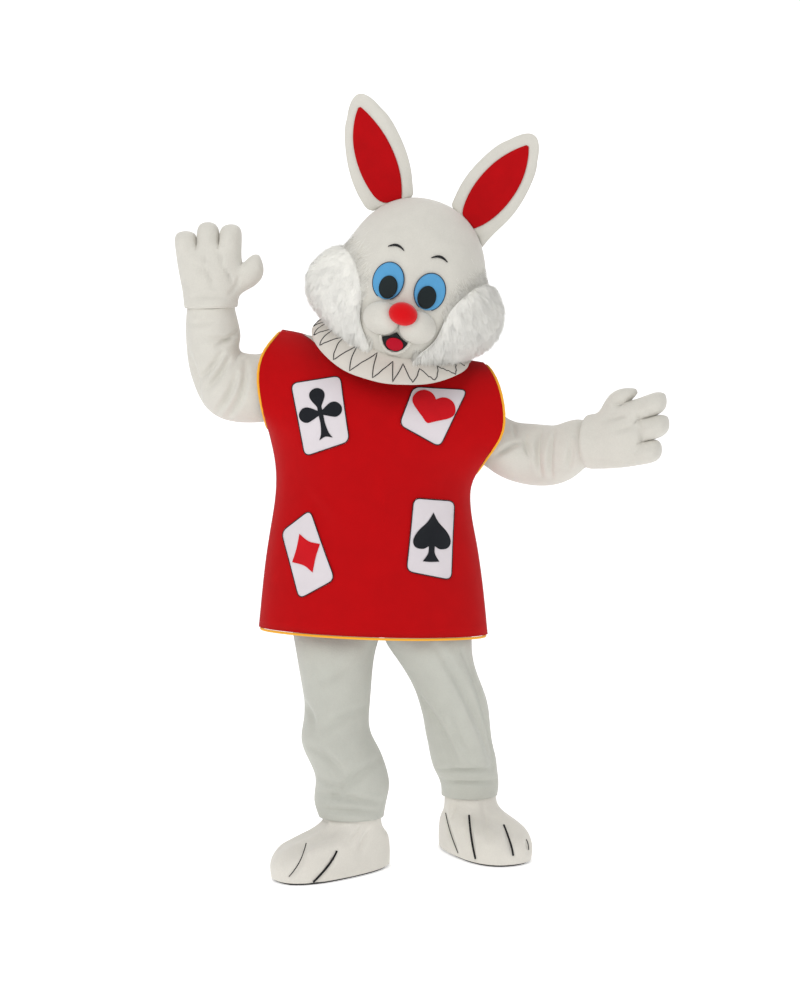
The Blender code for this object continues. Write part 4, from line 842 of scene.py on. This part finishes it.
COLLAR_CLOTH = plush("collar_cloth", linear(214, 208, 199), dark=0.95, grain=500.0, bump=0.0005, sheen=0.15)
collar = on_solid("cloth_collar", "collar", COLLAR_CLOTH)
# its upper edge is sewn up inside the head's, so that no light shows between them
COLLAR_UP, COLLAR_EDGE, COLLAR_TURN = 0.008, 0.014, 15
band = points_of(collar)
own_x, own_y, own_z = ((band - np.array(HEAD_MIDDLE)) @ head_turn).T
bearing_of = np.degrees(np.arctan2(own_x, -own_y))
for turn in range(-180, 180, COLLAR_TURN):
    near = np.abs((bearing_of - turn + 180) % 360 - 180) <= COLLAR_TURN / 2
    if near.any():
        share = np.clip((own_z[near] - own_z[near].max() + COLLAR_EDGE) / COLLAR_EDGE, 0, 1)
        band[near] += share[:, None] * COLLAR_UP * head_turn[:, 2]
set_points(collar, band)

# bearing round the head (0 is the front), share of the way down the band
ZIGZAG = [(-104, 0.2), (-98, 0.9), (-90, 0.15), (-85, 0.9), (-77, 0.1), (-71, 0.92), (-62, 0.1), (-57, 0.92),
          (-48, 0.1), (-40, 0.93), (-32, 0.1), (-25, 0.95), (-13, 0.05), (-8, 0.9), (3, 0.2), (6, 0.92),
          (12, 0.2), (19, 0.95), (25, 0.3), (34, 0.93), (41, 0.2), (51, 0.9), (60, 0.15), (67, 0.8)]
ZIGZAG_CORD, ZIGZAG_CORD_OUT, ZIGZAG_STEPS = 0.0013, 0.6, 7
COLLAR_TOP, COLLAR_FOOT, COLLAR_ROWS, COLLAR_REACH = -0.08, -0.29, 43, 0.6
collar_tree = tree_of(collar)


def on_collar(bearing, share):
    """A point of the collar's outside at a bearing, and a share of the way down the band."""
    b = math.radians(bearing)
    outward = np.array((math.sin(b), -math.cos(b), 0))
    found = []
    for z in np.linspace(COLLAR_TOP, COLLAR_FOOT, COLLAR_ROWS):
        start, way = on_body(outward * COLLAR_REACH + (0, 0, z)), Vector(head_turn @ -outward)
        hit, _, _, _ = collar_tree.ray_cast(start, way, COLLAR_REACH)
        if hit is not None:
            found.append(hit - way * ZIGZAG_CORD * ZIGZAG_CORD_OUT)
    spot = share * (len(found) - 1)
    low = min(int(spot), len(found) - 2)
    return found[low].lerp(found[low + 1], spot - low)


zigzag = []
for (b0, s0), (b1, s1) in zip(ZIGZAG[:-1], ZIGZAG[1:]):
    for k in range(ZIGZAG_STEPS):
        share = k / ZIGZAG_STEPS
        zigzag.append(on_collar(b0 + (b1 - b0) * share, s0 + (s1 - s0) * share))
tube("collar_zigzag_cord", zigzag, ZIGZAG_CORD, BLACK_CORD)

# Stage
# Flat studio light from large panels, a near-white floor and backdrop, and the camera
# at the photograph's height, level and 5 m away.

CAMERA_AT, FOCAL_PX, HORIZON_ROW = (0.069, -5.0, -0.20), 1820, 431
PHOTO_HIGH, SENSOR = 1000, 36.0
FLOOR_Z = frame_bounds[0][2]
FLOOR = plain("studio_floor", (0.95, 0.95, 0.95, 1.0), 0.9)
floor_shader = FLOOR.node_tree.nodes["Principled BSDF"]
floor_shader.inputs["Emission Color"].default_value = (1, 1, 1, 1)
floor_shader.inputs["Emission Strength"].default_value = 0.40


def panel(name, size, place, towards, power):
    """A large soft light facing a point."""
    light = bpy.data.lights.new(name, "AREA")
    light.shape = "RECTANGLE"
    light.size, light.size_y = size
    light.energy = power
    lamp = bpy.data.objects.new(name, light)
    bpy.context.scene.collection.objects.link(lamp)
    lamp.location = place
    lamp.rotation_euler = (Vector(towards) - Vector(place)).to_track_quat("-Z", "Y").to_euler()


# the floor runs up into the backdrop in a wide curve
FLOOR_REACH, CURVE_FROM, CURVE, BACKDROP_TOP = 9.0, 3.0, 2.0, 7.0
floor_mesh = bpy.data.meshes.new("studio_floor")
profile = [(-FLOOR_REACH, FLOOR_Z), (CURVE_FROM, FLOOR_Z)]
for a in np.radians(np.arange(10, 91, 10)):
    profile.append((CURVE_FROM + CURVE * math.sin(a), FLOOR_Z + CURVE - CURVE * math.cos(a)))
profile.append((CURVE_FROM + CURVE, BACKDROP_TOP))
corners = [(x, y, z) for y, z in profile for x in (-FLOOR_REACH, FLOOR_REACH)]
strips = [(2 * i, 2 * i + 1, 2 * i + 3, 2 * i + 2) for i in range(len(profile) - 1)]
floor_mesh.from_pydata(corners, [], strips)
floor_mesh.materials.append(FLOOR)
floor_mesh.shade_smooth()
floor = bpy.data.objects.new("studio_floor", floor_mesh)
bpy.context.scene.collection.objects.link(floor)

# size, place, the point it faces, watts
panel("key panel", (2.6, 3.0), (-2.2, -3.6, 2.4), (0, 0, -0.3), 88)
panel("fill panel", (3.0, 3.0), (3.4, -2.6, 1.4), (0, 0, -0.3), 26)
panel("top panel", (3.5, 3.5), (0, 0.6, 3.6), (0, 0, -0.4), 34)

world = bpy.data.worlds.new("studio")
bpy.context.scene.world = world
world.use_nodes = True
world.node_tree.nodes["Background"].inputs["Color"].default_value = (1, 1, 1, 1)
world.node_tree.nodes["Background"].inputs["Strength"].default_value = 0.46

lens = bpy.data.cameras.new("photo camera")
lens.sensor_width, lens.sensor_fit = SENSOR, "AUTO"
lens.lens = FOCAL_PX * SENSOR / PHOTO_HIGH
lens.shift_y = -(PHOTO_HIGH / 2 - HORIZON_ROW) / PHOTO_HIGH
camera = bpy.data.objects.new("photo camera", lens)
bpy.context.scene.collection.objects.link(camera)
camera.location = CAMERA_AT
camera.rotation_euler = (math.radians(90), 0, 0)
bpy.context.scene.camera = camera
bpy.context.scene.view_settings.view_transform = "Standard"
bpy.context.scene.view_settings.look = "None"
